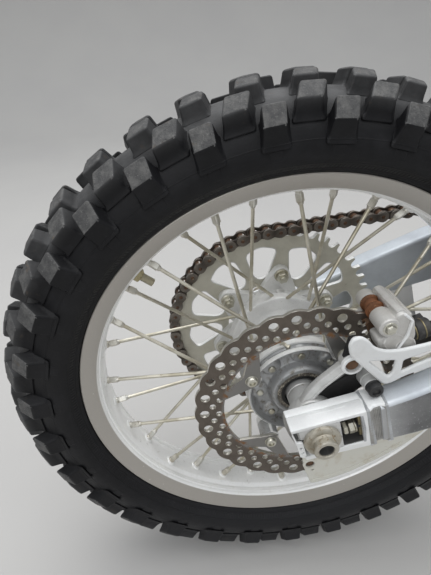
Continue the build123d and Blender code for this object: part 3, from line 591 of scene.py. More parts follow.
def disc_finish():
    """Brown tarnish on ground steel, with bare hole edges and rust round the inside."""
    f = Finish("disc_steel", (0.150, 0.128, 0.108), 0.85, 0.42)
    r = f.radius()
    wiped = f.band(r, DISC_BAND_R + 1, DISC_BAND_R + 4)
    lines = f.math("SINE", f.math("MULTIPLY_ADD", r, 9.0, f.math("MULTIPLY", f.noise(30, 2), 6.0)))
    f.lay(f.math("MULTIPLY", f.band(f.noise(12, 6, 0.7), 0.4, 0.7), 0.6), (0.105, 0.088, 0.073), 0.5)
    f.lay(f.math("MULTIPLY", f.math("SUBTRACT", 1.0, wiped), 0.9), (0.25, 0.245, 0.235), 0.5, 0.8)
    near = f.band(f.math("ABSOLUTE", f.math("SUBTRACT", r, DISC_BAND_R)), 6, 0.5)
    rust = f.math("MULTIPLY", f.band(f.noise(6, 7, 0.7), 0.48, 0.58), near)
    f.lay(rust, (0.20, 0.095, 0.035), 0.85, 0.1)
    edge = f.band(f.math("ABSOLUTE", f.facing(1)), 0.9, 0.6)
    f.lay(edge, (0.62, 0.60, 0.55), 0.35, 1.0)
    f.relief(lines, 0.02)
    f.relief(f.noise(1.2, 5), 0.05)
    return f.done()


def chain_finish():
    """Oily black brown plates, with painted highlights along their edges."""
    f = Finish("chain_steel", (0.018, 0.012, 0.009), 0.5, 0.3)
    f.lay(f.band(f.noise(5, 6, 0.7), 0.5, 0.62), (0.060, 0.030, 0.015), 0.55, 0.2)
    # Painted highlight: the plates' edges are made light and metallic to stand in for the highlights along them.
    f.lay(f.math("MULTIPLY", f.band(f.edge_pointiness(), 0.53, 0.62), 0.65), (0.46, 0.42, 0.37), 0.3, 1.0)
    f.relief(f.noise(0.7, 5, 0.6), 0.08)
    return f.done()


def roller_finish():
    f = Finish("roller_rust", (0.12, 0.062, 0.034), 0.4, 0.5)
    f.lay(f.band(f.noise(2.2, 6, 0.7), 0.45, 0.65), (0.05, 0.028, 0.018), 0.7, 0.2)
    f.lay(f.band(f.noise(3.5, 4, 0.6), 0.58, 0.68), (0.34, 0.26, 0.18), 0.35, 0.8)
    f.relief(f.noise(0.6, 5, 0.6), 0.15)
    return f.done()


def paint_finish(name, colour, stain, chip, size=22, stain_from=0.5, rough=0.42):
    f = Finish(name, colour, 0.0, rough)
    f.lay(f.math("MULTIPLY", f.band(f.noise(size, 6, 0.66), stain_from, stain_from + 0.22), 0.8), stain, 0.6)
    chips = f.band(f.math("ADD", f.edge_pointiness(), f.math("MULTIPLY", f.noise(2.6, 5, 0.7), 0.12)), 0.66, 0.70)
    f.lay(f.math("MULTIPLY", chips, 0.6), chip, 0.55, 0.2)
    scratches = f.band(f.noise(1.2, 2, 0.5, f.stretch((0.12, 1, 1))), 0.71, 0.74)
    f.lay(f.math("MULTIPLY", scratches, 0.4), chip, 0.6)
    f.relief(f.noise(0.8, 4), 0.05)
    return f.done()


def plastic_finish(name, colour, dust, rough=0.5, size=6):
    f = Finish(name, colour, 0.0, rough)
    f.lay(f.math("MULTIPLY", f.band(f.noise(size, 6, 0.65), 0.48, 0.72), 0.5), dust, 0.75)
    f.lay(f.math("MULTIPLY", f.band(f.edge_pointiness(), 0.53, 0.6), 0.35), dust)
    f.relief(f.noise(0.5, 3), 0.06)
    return f.done()


def hub_finish():
    """Speckled cast shell, paler than the bowl on the disc's side, which is a darker grey with patches of grime."""
    f = Finish("hub_cast", (0.78, 0.78, 0.765), 0.25, 0.5)
    y = f.math("MULTIPLY", f.split()[1], 1 / MM)
    inside = f.math("MULTIPLY", f.band(y, -41.8, -43.2), f.band(f.radius(), 57.6, 57.2))
    lobes = f.math("MULTIPLY", f.band(y, -45.2, -46.2), f.band(f.radius(), 59.1, 59.5))
    bowl = f.math("MAXIMUM", inside, lobes)
    f.lay(f.math("MULTIPLY", f.band(f.noise(24, 5, 0.6), 0.35, 0.72), 0.5), (0.58, 0.575, 0.56), 0.6)
    f.lay(f.math("MULTIPLY", f.band(f.noise(1.4, 5, 0.7), 0.58, 0.7), 0.6), (0.42, 0.40, 0.37), 0.65)
    f.lay(bowl, (0.40, 0.405, 0.41), 0.42, 0.6)
    grime = f.math("MULTIPLY", bowl, f.band(f.noise(9, 6, 0.7), 0.5, 0.66))
    f.lay(grime, (0.22, 0.205, 0.18), 0.6, 0.4)
    f.lay(f.math("MULTIPLY", f.band(f.edge_pointiness(), 0.53, 0.62), 0.7), (0.74, 0.73, 0.70), 0.35, 0.8)
    f.relief(f.noise(1.3, 5, 0.6), 0.22)
    return f.done()


def seal_finish():
    """Speckled rusty ring with a black lip round the spacer."""
    f = Finish("seal_rust", (0.15, 0.135, 0.115), 0.5, 0.6)
    f.lay(f.band(f.noise(3.5, 6, 0.7), 0.5, 0.6), (0.50, 0.46, 0.38), 0.5, 0.6)
    f.lay(f.band(f.noise(1.6, 6, 0.7), 0.56, 0.64), (0.03, 0.026, 0.022), 0.7, 0.2)
    f.lay(f.band(f.radius(), 23.4, 22.6), (0.008, 0.008, 0.008), 0.7, 0.0)
    f.relief(f.noise(1.0, 5, 0.6), 0.25)
    return f.done()


TYRE = tyre_finish()
HUB = hub_finish()
SEAL = seal_finish()
LUG_TOP = lug_top_finish()
RIM = rim_finish()
DISC = disc_finish()
CHAIN = chain_finish()
ROLLER = roller_finish()
SPOKE = metal_finish("spoke_steel", (0.66, 0.63, 0.54), (0.46, 0.42, 0.32), 0.34, grain=0.8, depth=0.04,
                     patch=(0.32, 0.27, 0.17), patch_size=9, patch_from=0.64)
NIPPLE = metal_finish("nipple_plate", (0.74, 0.73, 0.68), (0.50, 0.46, 0.38), 0.34, grain=0.9, depth=0.06,
                      patch=(0.30, 0.22, 0.13), patch_size=4, patch_from=0.62)
CAST = metal_finish("cast_alloy", (0.62, 0.62, 0.605), (0.44, 0.435, 0.42), 0.44, 0.45, grain=1.3, depth=0.22,
                    patch=(0.24, 0.21, 0.17), patch_size=7, patch_from=0.62, edge=(0.70, 0.70, 0.68))
SMOOTH_CAST = metal_finish("machined_alloy", (0.68, 0.68, 0.67), (0.50, 0.495, 0.48), 0.36, 0.6, grain=1.0,
                           depth=0.06, patch=(0.26, 0.23, 0.18), patch_size=10, patch_from=0.64)
SPROCKET = metal_finish("sprocket_steel", (0.56, 0.54, 0.46), (0.46, 0.44, 0.37), 0.5, 0.2, grain=1.0, depth=0.05,
                        patch=(0.24, 0.20, 0.15), patch_size=10, patch_from=0.68, bare=(0.92, 0.92, 0.90))
ZINC = metal_finish("zinc_steel", (0.66, 0.65, 0.58), (0.42, 0.39, 0.30), 0.32, 1.0, grain=0.7, depth=0.08,
                    patch=(0.28, 0.19, 0.10), patch_size=3, patch_from=0.62)
ARM_TOP = metal_finish("arm_alloy", (0.56, 0.60, 0.64), (0.46, 0.49, 0.53), 0.5, 0.4, grain=1.0, depth=0.04,
                       broad=40, streak=(0.08, 1, 1), edge=(0.80, 0.82, 0.84))
ARM_SIDE = metal_finish("arm_scuffed", (0.22, 0.222, 0.225), (0.15, 0.152, 0.155), 0.45, 0.7, grain=1.1, depth=0.12,
                        broad=26, streak=(0.1, 1, 1), patch=(0.40, 0.40, 0.41), patch_size=3, patch_from=0.58,
                        patch_rough=0.4, patch_metal=0.8, edge=(0.8, 0.81, 0.82))
WHITE_METAL = metal_finish("oxide_alloy", (0.88, 0.89, 0.89), (0.76, 0.77, 0.77), 0.56, 0.25, grain=1.5, depth=0.05,
                           broad=24, patch=(0.42, 0.42, 0.41), patch_size=5, patch_from=0.7, edge=(0.85, 0.85, 0.85))
WELD = metal_finish("weld_bead", (0.56, 0.58, 0.60), (0.40, 0.41, 0.42), 0.42, 0.7, grain=1.4, depth=0.12,
                    edge=(0.8, 0.8, 0.8))
FORGED = metal_finish("forged_side", (0.46, 0.455, 0.44), (0.30, 0.295, 0.28), 0.42, 0.8, grain=1.2, depth=0.15,
                      edge=(0.7, 0.7, 0.68))
AXLE_STEEL = metal_finish("axle_steel", (0.50, 0.47, 0.40), (0.30, 0.265, 0.20), 0.46, 0.75, grain=1.2, depth=0.3,
                          patch=(0.30, 0.24, 0.16), patch_size=5, patch_from=0.54, patch_metal=0.4,
                          edge=(0.66, 0.64, 0.58))
RUST = metal_finish("rusty_steel", (0.16, 0.085, 0.045), (0.07, 0.045, 0.03), 0.75, 0.2, grain=1.0, depth=0.3)
# Dark steel for the bearings, the drive sprocket and the adjuster's thread and block; it is also painted shade: dark
# sheets in the arm end's window, recess and hole, and in the axle's bore.
DARK_STEEL_AND_SHADE = metal_finish("dark_steel_and_painted_shade", (0.075, 0.075, 0.075), (0.035, 0.035, 0.035), 0.45, 0.8, grain=1.0,
                          depth=0.1, edge=(0.3, 0.3, 0.3))
BLOCK = metal_finish("block_alloy", (0.66, 0.66, 0.65), (0.46, 0.46, 0.45), 0.55, 0.4, grain=1.3, depth=0.1,
                     patch=(0.26, 0.25, 0.23), patch_size=7, patch_from=0.62, edge=(0.8, 0.8, 0.8))
BRASS = metal_finish("brass_plate", (0.46, 0.40, 0.24), (0.24, 0.20, 0.12), 0.4, 0.9, grain=0.8, depth=0.08,
                     patch=(0.10, 0.085, 0.06), patch_size=3, patch_from=0.56)
# Near-black cast alloy: painted shade for the caliper bracket's webs.
PAINTED_SHADE_CAST = metal_finish("cast_painted_shade", (0.022, 0.021, 0.021), (0.012, 0.012, 0.012), 0.7, 0.2, grain=1.3, depth=0.2)
CALIPER_METAL = metal_finish("caliper_alloy", (0.60, 0.59, 0.57), (0.46, 0.44, 0.41), 0.48, 0.4, grain=1.0,
                             depth=0.12, patch=(0.26, 0.22, 0.17), patch_size=6, patch_from=0.65,
                             edge=(0.80, 0.79, 0.77))
BOOT_RUST = metal_finish("boot_rust", (0.34, 0.125, 0.045), (0.12, 0.05, 0.022), 0.6, 0.2, grain=1.2, depth=0.2,
                         patch=(0.52, 0.28, 0.14), patch_size=3, patch_from=0.6)
PAD_METAL = metal_finish("pad_steel", (0.05, 0.05, 0.05), (0.1, 0.07, 0.05), 0.7, 0.2, grain=1.0, depth=0.15)
GUARD = paint_finish("guard_paint", (0.76, 0.77, 0.77), (0.66, 0.66, 0.645), (0.40, 0.39, 0.37), 30, 0.55, 0.38)
FIN = paint_finish("fin_paint", (0.66, 0.65, 0.585), (0.52, 0.46, 0.35), (0.34, 0.28, 0.20), 30, 0.5, 0.4)
RUBBER = plastic_finish("black_rubber", (0.013, 0.013, 0.014), (0.10, 0.095, 0.085), 0.55)
PLASTIC = plastic_finish("black_plastic", (0.018, 0.018, 0.02), (0.12, 0.11, 0.10), 0.48, 9)


def carcass(y):
    """The carcass's radius across the tread: part of a circle."""
    return CARCASS_CENTRE_R + sqrt(CARCASS_HALF ** 2 - y ** 2)


def tread(y):
    """The radius of the knobs' tops."""
    return TYRE_R - 0.5 - TREAD_ROUND + sqrt(TREAD_ROUND ** 2 - y ** 2)


def tyre():
    form = Form()
    side = [(BEAD_R + 1, 20), (BEAD_R + 1, 27.8), (FLANGE_R + 0.7, 30.9), (FLANGE_R + 1.0, 34.6), (244.0, 36.4),
            (246.5, 37.6), (249.0, 40.2), (252.5, 44.0), (256, 46.6)]
    turns = [sin(radians(a)) * CARCASS_HALF for a in (90, 80, 70, 60, 50, 40, 30, 20, 10, 3)]
    crown = [(carcass(y), y) for y in turns]
    half = side + crown
    inside = [(292, 0), (289, 18), (280, 30), (262, 34), (246, 28)]
    outline = half + [(r, -y) for r, y in reversed(half)]
    outline += [(r, -y) for r, y in reversed(inside)] + [(r, y) for r, y in inside[1:]]
    form.lathe(outline, 180)
    lugs(form)
    finish_piece("tyre", form, [TYRE, LUG_TOP], WHEEL, ["tyre"], on_wheel, bevel=3.0, crease=38,
                 segments=3)


def lug(form, angle, length, feet, tops, side, lean=0.0, shrink=0.86, skirt=0.0):
    """One knob: feet and tops are (radius, y) places; its wide top may sit askew by lean degrees.

    It spreads into the carcass at its foot, and its top is slightly domed.
    """
    half = degrees(length / 2 / TYRE_R)
    (tr0, ty0), (tr1, ty1) = tops
    levels = []
    for share, spread, flare in ((0.0, 1.30, 2.6), (0.22, 1.06, 0.6), (0.42, 1.0, 0.0), (1.0, shrink, 0.0)):
        level = []
        for (fr, fy), (tr, ty), turn, out in ((feet[0], tops[0], -lean / 2, -1), (feet[1], tops[1], lean / 2, 1)):
            r = fr + (tr - fr) * share
            y = fy + (ty - fy) * share + out * flare
            level.append([(*polar(r, angle + turn + way * half * spread), side * y) for way in (-1, 1)])
        (a, b), (d, c) = level
        levels.append([(x, y, z) for x, z, y in (a, b, c, d)])
    start = len(levels) * 4
    middle_r, middle_y = (tr0 + tr1) / 2 + 0.8, (ty0 + ty1) / 2
    x, z = polar(middle_r, angle)
    points = [q for level in levels for q in level] + [(x, side * middle_y, z)]
    faces, marks = [[0, 1, 2, 3]], [0]
    for k in range(len(levels) - 1):
        for j in range(4):
            i = (j + 1) % 4
            faces.append([4 * k + j, 4 * k + i, 4 * k + 4 + i, 4 * k + 4 + j])
            marks.append(0)
    top = start - 4
    for j in range(4):
        faces.append([top + j, top + (j + 1) % 4, start])
        marks.append(1)
    form.add(points, faces, marks)
    if skirt:
        (fr, fy), (tr, ty) = feet[1], tops[1]
        outer = [(fr + 2, fy + 1.0), (fr - skirt, fy + 0.3 + skirt * 0.05), (fr - skirt, fy - 4), (fr, fy - 5)]
        sections = []
        for way in (-1, 1):
            a = angle + lean / 2 + way * half * 0.62
            sections.append([(polar(r, a)[0], side * y, polar(r, a)[1]) for r, y in outer])
        form.rings(sections, 0)


def lugs(form):
    """Centre knobs in pairs, then middle and shoulder knobs on both sides, half a step apart."""
    for k in range(CENTRE_LUGS):
        a = CENTRE_FIRST + 360.0 / CENTRE_LUGS * k
        for side in (-1, 1):
            y = 20.5 if (k + (side > 0)) % 2 else 17.5
            lug(form, a + random.uniform(-0.3, 0.3), random.uniform(24, 26), [(carcass(1.5) - 2, 1.5), (carcass(y) - 2, y)],
                [(tread(2.5) + 0.3, 2.5), (tread(y) + random.uniform(-0.4, 0.4), y - 0.5)], side, 0.9)
    step = 360.0 / SIDE_LUGS
    for k in range(SIDE_LUGS):
        for side in (-1, 1):
            first = SHOULDER_FIRST + (0 if side < 0 else step / 2)
            lug(form, first + step * (k + 0.45), random.uniform(27, 29), [(carcass(25) - 2, 24.5), (carcass(40) - 2, 40.5)],
                [(tread(26), 26), (tread(42), 42)], side, 1.4, skirt=9)
            lug(form, first + step * k + random.uniform(-0.2, 0.2), random.uniform(26, 28),
                [(carcass(39), 38), (carcass(48) - 2, 48.3)],
                [(tread(41) + random.uniform(-0.6, 0.6), 41), (tread(53.2), 53.2)], side, 0.6, skirt=10)


def spoke_lines():
    """Side, hub point and rim point of every spoke."""
    lines = []
    for side in (1, -1):
        for k in range(SPOKE_PAIRS):
            middle = SPOKE_FIRST + 360.0 / SPOKE_PAIRS * k + (0 if side > 0 else 90.0 / SPOKE_PAIRS)
            for lean in (1, -1):
                hx, hz = polar(SPOKE_HUB_R, middle + lean * SPOKE_PAIR_ANGLE)
                rx, rz = polar(WELL_R, middle + lean * SPOKE_SWING)
                lines.append((side, Vector((hx, side * (HUB_FLANGE_Y + 3.5 * lean), hz)),
                              Vector((rx, side * (4 + 2.2 * lean), rz))))
    return lines


def rim():
    form = Form()
    outer = [(FLANGE_R, 31), (230.5, 30), (228.5, 28), (227.9, 18), (220.6, 11)]
    inner = [(FLANGE_R, 34), (240.6, 34.6), (239.2, 34.2), (226.4, 28.6), (224.4, 27.4), (223.0, 25.4), (222.4, 23),
             (221.0, 22.2), (220.6, 19.2), (221.4, 17.6), (221.2, 16.4), (218.4, 12.4), (217.7, 9.5), (217.5, 4)]
    outline = outer + [(r, -y) for r, y in reversed(outer)]
    outline += [(r, -y) for r, y in inner] + [(r, y) for r, y in reversed(inner)]
    form.lathe(outline, 240)
    for side, hub_point, end in spoke_lines():
        out = Vector((end.x, 0, end.z)).normalized()
        along = (hub_point - end).normalized()
        form.turned(end + out * 1.5, along * 0.4 - out * 0.6, [(7.0, 0), (6.6, 1.6), (5.4, 2.7), (4.2, 3.1)], 14)
    finish_piece("rim", form, [RIM], WHEEL, ["rim"], on_wheel, crease=18)


def spokes():
    form = Form()
    for side, hub_point, end in spoke_lines():
        along = (end - hub_point).normalized()
        form.bar(hub_point, end - along * (NIPPLE_LENGTH - 3), SPOKE_R, steps=10)
        form.turned(hub_point - along * 2.5, along, [(1.6, 0), (3.4, 0.6), (3.6, 2.2), (2.6, 4.2), (2.1, 7)], 12)
    finish_piece("spokes", form, [SPOKE], WHEEL, ["spokes"], on_wheel)


def nipples():
    form = Form()
    for side, hub_point, end in spoke_lines():
        along = (hub_point - end).normalized()
        start = end + along * 0.8
        form.turned(start, along, [(4.0, 0), (4.0, 2.0), (3.3, 3.0), (3.3, 4.0)], 14)
        sections = []
        side_way = along.orthogonal().normalized()
        other = along.cross(side_way)
        for s, r in ((3.8, 3.7), (4.6, 4.2), (12.4, 4.2), (13.0, 3.7)):
            p = start + along * s
            ring = []
            for k in range(4):
                for t in (-8, 8):
                    a = radians(45 + 90 * k + t)
                    ring.append(p + side_way * (r * cos(a)) + other * (r * sin(a)))
            sections.append(ring)
        form.rings(sections)
        form.turned(start, along, [(3.1, 12.6), (3.0, 14.5), (2.5, 15.4)], 12)
    finish_piece("nipples", form, [NIPPLE], WHEEL, ["nipples"], on_wheel)


def rim_lock():
    form = Form()
    x, z = polar(WELL_R, RIM_LOCK_ANGLE)
    inward = -Vector((x, 0, z)).normalized()
    foot = Vector((x, 0, z)) - inward * 0.3
    form.turned(foot, inward, [(8.5, 0), (8.5, 1.2), (7.0, 1.6)], 20, 1)
    side = inward.orthogonal().normalized()
    other = inward.cross(side)
    sections = []
    for s, r in ((1.6, 6.8), (2.4, 7.4), (7.2, 7.4), (8.0, 6.8)):
        sections.append([foot + inward * s + side * (r * cos(radians(60 * k))) + other * (r * sin(radians(60 * k)))
                         for k in range(6)])
    form.rings(sections, 1)
    threads = []
    for k in range(22):
        threads += [(4.0, 7 + k * 0.75), (4.5, 7.35 + k * 0.75)]
    form.turned(foot, inward, threads, 16, 0)
    finish_piece("rim_lock", form, [SPOKE, BRASS], WHEEL, ["rim_lock"], on_wheel)


def valve_stem():
    form = Form()
    x, z = polar(WELL_R, VALVE_ANGLE)
    inward = -Vector((x, 0, z)).normalized()
    foot = Vector((x, 0, z)) - inward * 0.3
    form.turned(foot, inward, [(6.5, 0), (6.5, 2), (4.2, 3), (4.0, 12), (3.4, 12.2), (3.4, 14), (4.4, 14.2),
                               (4.4, 20), (3.6, 21), (1.5, 21.5)], 20)
    finish_piece("valve_stem", form, [ZINC], WHEEL, ["valve_stem"], on_wheel)


def hub():
    form = Form()
    right = [(21.2, -52), (27, -52), (27, -57.4), (28.2, -58.4), (31.5, -58.4), (33.0, -57), (34.0, -52), (36, -47.5),
             (42, -44.6), (48, -43.6), (50.6, -44.8), (52.0, -47.0), (53.4, -52.0), (55.4, -54.4), (56.0, -56.2),
             (57.8, -56.2), (58.6, -55.2), (58.6, -51.4), (57.4, -50.4), (55.2, -49.8), (54.8, -46.4), (56.0, -45.0),
             (59.2, -44.4), (60.0, -43.4), (60.0, -36.0), (59.0, -34.0), (50, -32)]
    waist = [(42, -28), (36.5, -22), (34.5, -14), (34, 0), (34.5, 14), (37, 22), (44, 28)]
    left = [(50, 32), (60.5, 33.4), (62.4, 35), (62.6, 45.5), (61.6, 47.2), (57, 50), (54.5, 54), (53.5, 60),
            (53.0, 70), (52, 75.8), (30, 75.8), (28, 73), (21.2, 73)]
    form.lathe(right + waist + left, 96)
    back = SPROCKET_Y - 3
    for k in range(SPROCKET_BOLTS):
        u, w = polar(SPROCKET_BOLT_R, SPROCKET_BOLT_FIRST + 60 * k)
        form.prism(hulled((24, 0.62 * u, 0.62 * w), (11, u, w)), back - LOBE_THICK, back)
        a, b = polar(52, SPROCKET_BOLT_FIRST + 60 * k), polar(34, SPROCKET_BOLT_FIRST + 60 * k)
        form.bar((a[0], 64, a[1]), (b[0] * 1.2, 30, b[1] * 1.2), 6.5, 3.5, 10)
    for k in range(DISC_BOLTS):
        u, w = polar(DISC_BOLT_R, DISC_BOLT_FIRST + 90 * k)
        form.prism(hulled((7, 0.92 * u, 0.92 * w), (9.6, u, w)), DISC_Y + DISC_HALF, -38)
    for k in range(HUB_BOLTS):
        u, w = polar(HUB_BOLT_R + 3, 2 + 360.0 / HUB_BOLTS * k)
        form.turned((u, -41, w), (0, -1, 0), [(12.5, 0), (11, 6.0), (9.0, 8.4), (6.4, 9.4)], 24)
        form.turned((u, -50.2, w), (0, -1, 0), [(4.0, 0), (4.0, 1.8), (3.2, 2.6), (1.2, 2.7)], 12, 1)
    finish_piece("hub", form, [HUB, ZINC], WHEEL, ["hub"], on_wheel, bevel=0.9, crease=40)


def disc_outline():
    """A bulge outside each large hole, and a cusp between them."""
    points = []
    for k in range(DISC_HOLES * 12):
        a = 360.0 / (DISC_HOLES * 12) * k
        swell = abs(cos(radians((a - DISC_HOLE_FIRST) * DISC_HOLES / 2)))
        points.append(polar(DISC_R - 1.6 + 3.0 * swell, a))
    return points


def brake_disc():
    """Band with three rows of holes, and four forked arms to the bolts."""
    form = Form()
    holes = [circle(DISC_BAND_R, steps=120)]
    step = 360.0 / DISC_HOLES
    for k in range(DISC_HOLES):
        a = DISC_HOLE_FIRST + step * k
        holes.append(circle(5.0, polar(109.2, a), 20))
        holes.append(circle(3.4, polar(100.4, a + step * 0.55), 16))
        holes.append(circle(3.4, polar(93.8, a + step * 0.1), 16))
    plate(form, [disc_outline()] + holes, DISC_Y - DISC_HALF, DISC_Y + DISC_HALF, 0.5)
    for k in range(DISC_BOLTS):
        a = DISC_BOLT_FIRST + 90 * k
        u, w = polar(DISC_BOLT_R, a)
        for lean in (-1, 1):
            fu, fw = polar(DISC_BAND_R + 2.5, a + 20 * lean)
            inset = 0.03 + 0.02 * lean
            plate(form, [hulled((9.5, u, w), (5, fu, fw))], DISC_Y - DISC_HALF + inset, DISC_Y + DISC_HALF - inset,
                  0.35)
    finish_piece("brake_disc", form, [DISC], WHEEL, ["brake_disc"], on_wheel, crease=30)


def disc_bolts():
    form = Form()
    face = DISC_Y - DISC_HALF
    for k in range(DISC_BOLTS):
        u, w = polar(DISC_BOLT_R, DISC_BOLT_FIRST + 90 * k)
        form.turned((u, face, w), (0, -1, 0), [(6.8, 0), (6.7, 0.4), (6.4, 0.6)], 28, 0)
        head = [(6.2, 0), (6.1, 1.4), (5.2, 2.9), (3.4, 3.2), (3.2, 1.4), (0.5, 1.3)]
        form.turned((u, face - 0.5, w), (0, -1, 0), head, 24, 0)
    finish_piece("disc_bolts", form, [ZINC], WHEEL, ["disc_bolts"], on_wheel)


def sprocket():
    form = Form()
    tooth = 360.0 / SPROCKET_TEETH
    points = []
    for k in range(SPROCKET_TEETH):
        seat = polar(REAR_PITCH_R, tooth * k)
        for a in range(-88, 89, 22):
            x, z = polar(5.3, tooth * k + 180 + a)
            points.append((seat[0] + x, seat[1] + z))
        for share in (0.40, 0.60):
            points.append(polar(REAR_PITCH_R + 4.0, tooth * (k + share)))
    points = sorted(points, key=lambda p: atan2(p[1], p[0]))
    cuts = [circle(58, steps=72)]
    for k in range(SPROCKET_BOLTS):
        middle = SPROCKET_BOLT_FIRST + 60 * k
        for lean in (-1, 1):
            a = middle + 30 + 15 * lean
            cuts.append(rounded([polar(109, a - 11.2 * lean), polar(114.5, a), polar(108, a + 11.4 * lean),
                                 polar(68, a + 3 * lean), polar(66.5, a - 7 * lean), polar(76, a - 11.4 * lean)], 8, 6))
    plate(form, [points] + cuts, SPROCKET_Y - 3, SPROCKET_Y + 3, 0.8)
    for outline in cuts[1:]:
        form.bead([(u, SPROCKET_Y - 2.9, w) for u, w in outline + outline[:1]], 1.3, 0.35, (0, -1, 0), 900, 1)
    finish_piece("sprocket", form, [SPROCKET, SMOOTH_CAST], WHEEL, ["sprocket"], on_wheel, crease=30)


def sprocket_bolts():
    form = Form()
    back = SPROCKET_Y - 3 - LOBE_THICK
    for k in range(SPROCKET_BOLTS):
        centre = polar(SPROCKET_BOLT_R, SPROCKET_BOLT_FIRST + 60 * k)
        form.turned((centre[0], back, centre[1]), (0, -1, 0), [(9.2, 0), (9.0, 1.2), (7.6, 2.0)], 24)
        form.hexagon(13, back - 9, back - 1.6, centre, turn=11 * k)
        form.turned((centre[0], back - 8.6, centre[1]), (0, -1, 0), [(4, 0), (4, 2.6), (3.3, 3.3)], 16)
        form.turned((centre[0], SPROCKET_Y + 3, centre[1]), (0, 1, 0), [(7.6, 0), (7.2, 1.6), (5.8, 2.4), (3, 2.5)], 24)
    finish_piece("sprocket_bolts", form, [ZINC], WHEEL, ["sprocket_bolts"], on_wheel, crease=25)


def chain_points():
    """Places of the pins round the loop, and the direction of each link, in (u, w)."""
    lean = asin((REAR_PITCH_R - DRIVE_PITCH_R) / DRIVE_U)
    run = DRIVE_U * cos(lean)
    rear = REAR_PITCH_R * (pi + 2 * lean)
    front = DRIVE_PITCH_R * (pi - 2 * lean)
    total = 2 * run + rear + front
    count = round(total / PITCH)
    step = total / count
    points = []
    for k in range(count):
        s = step * k
        if s < rear:
            a = pi / 2 - lean + s / REAR_PITCH_R
            points.append((REAR_PITCH_R * cos(a), REAR_PITCH_R * sin(a)))
        elif s < rear + run:
            t = s - rear
            a = -pi / 2 + lean
            points.append((REAR_PITCH_R * cos(a) + t * cos(lean), REAR_PITCH_R * sin(a) + t * sin(lean)))
        elif s < rear + run + front:
            a = -pi / 2 + lean + (s - rear - run) / DRIVE_PITCH_R
            points.append((DRIVE_U + DRIVE_PITCH_R * cos(a), DRIVE_PITCH_R * sin(a)))
        else:
            t = s - rear - run - front
            a = pi / 2 - lean
            points.append((DRIVE_U + DRIVE_PITCH_R * cos(a) - t * cos(lean),
                           DRIVE_PITCH_R * sin(a) + t * sin(lean)))
    return points


def link_plate(form, a, b, y, thick, height, waist):
    """A figure of eight plate from pin a to pin b."""
    middle = (Vector(a) + Vector(b)) / 2
    along = (Vector(b) - Vector(a)).normalized()
    up = Vector((-along.y, along.x))
    reach = (Vector(b) - Vector(a)).length / 2
    outline = []
    for end in (1, -1):
        for k in range(9):
            t = radians(-112 + 28 * k)
            local = Vector((reach + height / 2 * cos(t), height / 2 * sin(t))) * end
            outline.append(middle + along * local.x + up * local.y)
        outline.append(middle + up * (waist / 2 * end))
    form.prism([(p.x, p.y) for p in outline], y - thick / 2, y + thick / 2, 0)


def chain():
    form = Form()
    points = chain_points()
    count = len(points)
    for k in range(count):
        a, b = points[k], points[(k + 1) % count]
        outer = k % 2
        for side in (-1, 1):
            y = SPROCKET_Y + side * (8.1 if outer else 5.9)
            link_plate(form, a, b, y, 2.0, 14.2 if outer else 14.8, 9.0 if outer else 10.0)
        form.turned((a[0], SPROCKET_Y - 9.7, a[1]), (0, 1, 0), [(1.9, 0), (2.6, 0.5), (2.6, 18.9), (1.9, 19.4)], 10, 1)
        form.turned((a[0], SPROCKET_Y - 4.8, a[1]), (0, 1, 0), [(4.6, 0), (ROLLER_R, 0.5), (ROLLER_R, 9.1), (4.6, 9.6)],
                    14, 1)
    finish_piece("chain", form, [CHAIN, ROLLER], ARM, ["chain"], on_arm, bevel=0.4, crease=50,
                 segments=1)


def tube(form, stations, side, corner, outer_mark, other_mark):
    """A skin with rounded corners through (u, inner y, outer y, bottom w, top w) stations."""
    rings = []
    for u, inner, outer, low, high in stations:
        ring = []
        for y, w, first in ((outer, high, 0), (inner, high, 90), (inner, low, 180), (outer, low, 270)):
            cy = y + (corner if y == inner else -corner)
            cw = w + (corner if w == low else -corner)
            for k in range(6):
                x, z = polar(corner, first + 18 * k)
                ring.append((u, side * (cy + x), cw + z))
        rings.append(ring)
    count = len(rings[0])
    marks = [other_mark if 1 <= j <= 20 else outer_mark for k in range(len(rings) - 1) for j in range(count)]
    form.rings(rings, marks + [other_mark, other_mark])


def rounded_box(form, u0, u1, y0, y1, w0, w1, mark=0):
    form.rings([[(u0, y0, w0), (u0, y1, w0), (u0, y1, w1), (u0, y0, w1)],
                [(u1, y0, w0), (u1, y1, w0), (u1, y1, w1), (u1, y0, w1)]], mark)


def weld_round(form, u, inner, outer, low, high, slant=0.0, width=6.0, mark=0):
    """A weld across the top, down the outer side and across the bottom of the arm."""
    form.bead([(u, inner, high), (u + slant, (inner + outer) / 2, high), (u, outer, high)], width, 0.8, (0, 0, 1),
              3.4, mark)
    out = 1 if outer > 0 else -1
    form.bead([(u, outer, high), (u + slant, outer, (low + high) / 2), (u + 2 * slant, outer, low)], width, 0.5,
              (0, out, 0), 3.4, mark)
    form.bead([(u, inner, low), (u, outer, low)], width, 1.4, (0, 0, -1), 4.2, mark)


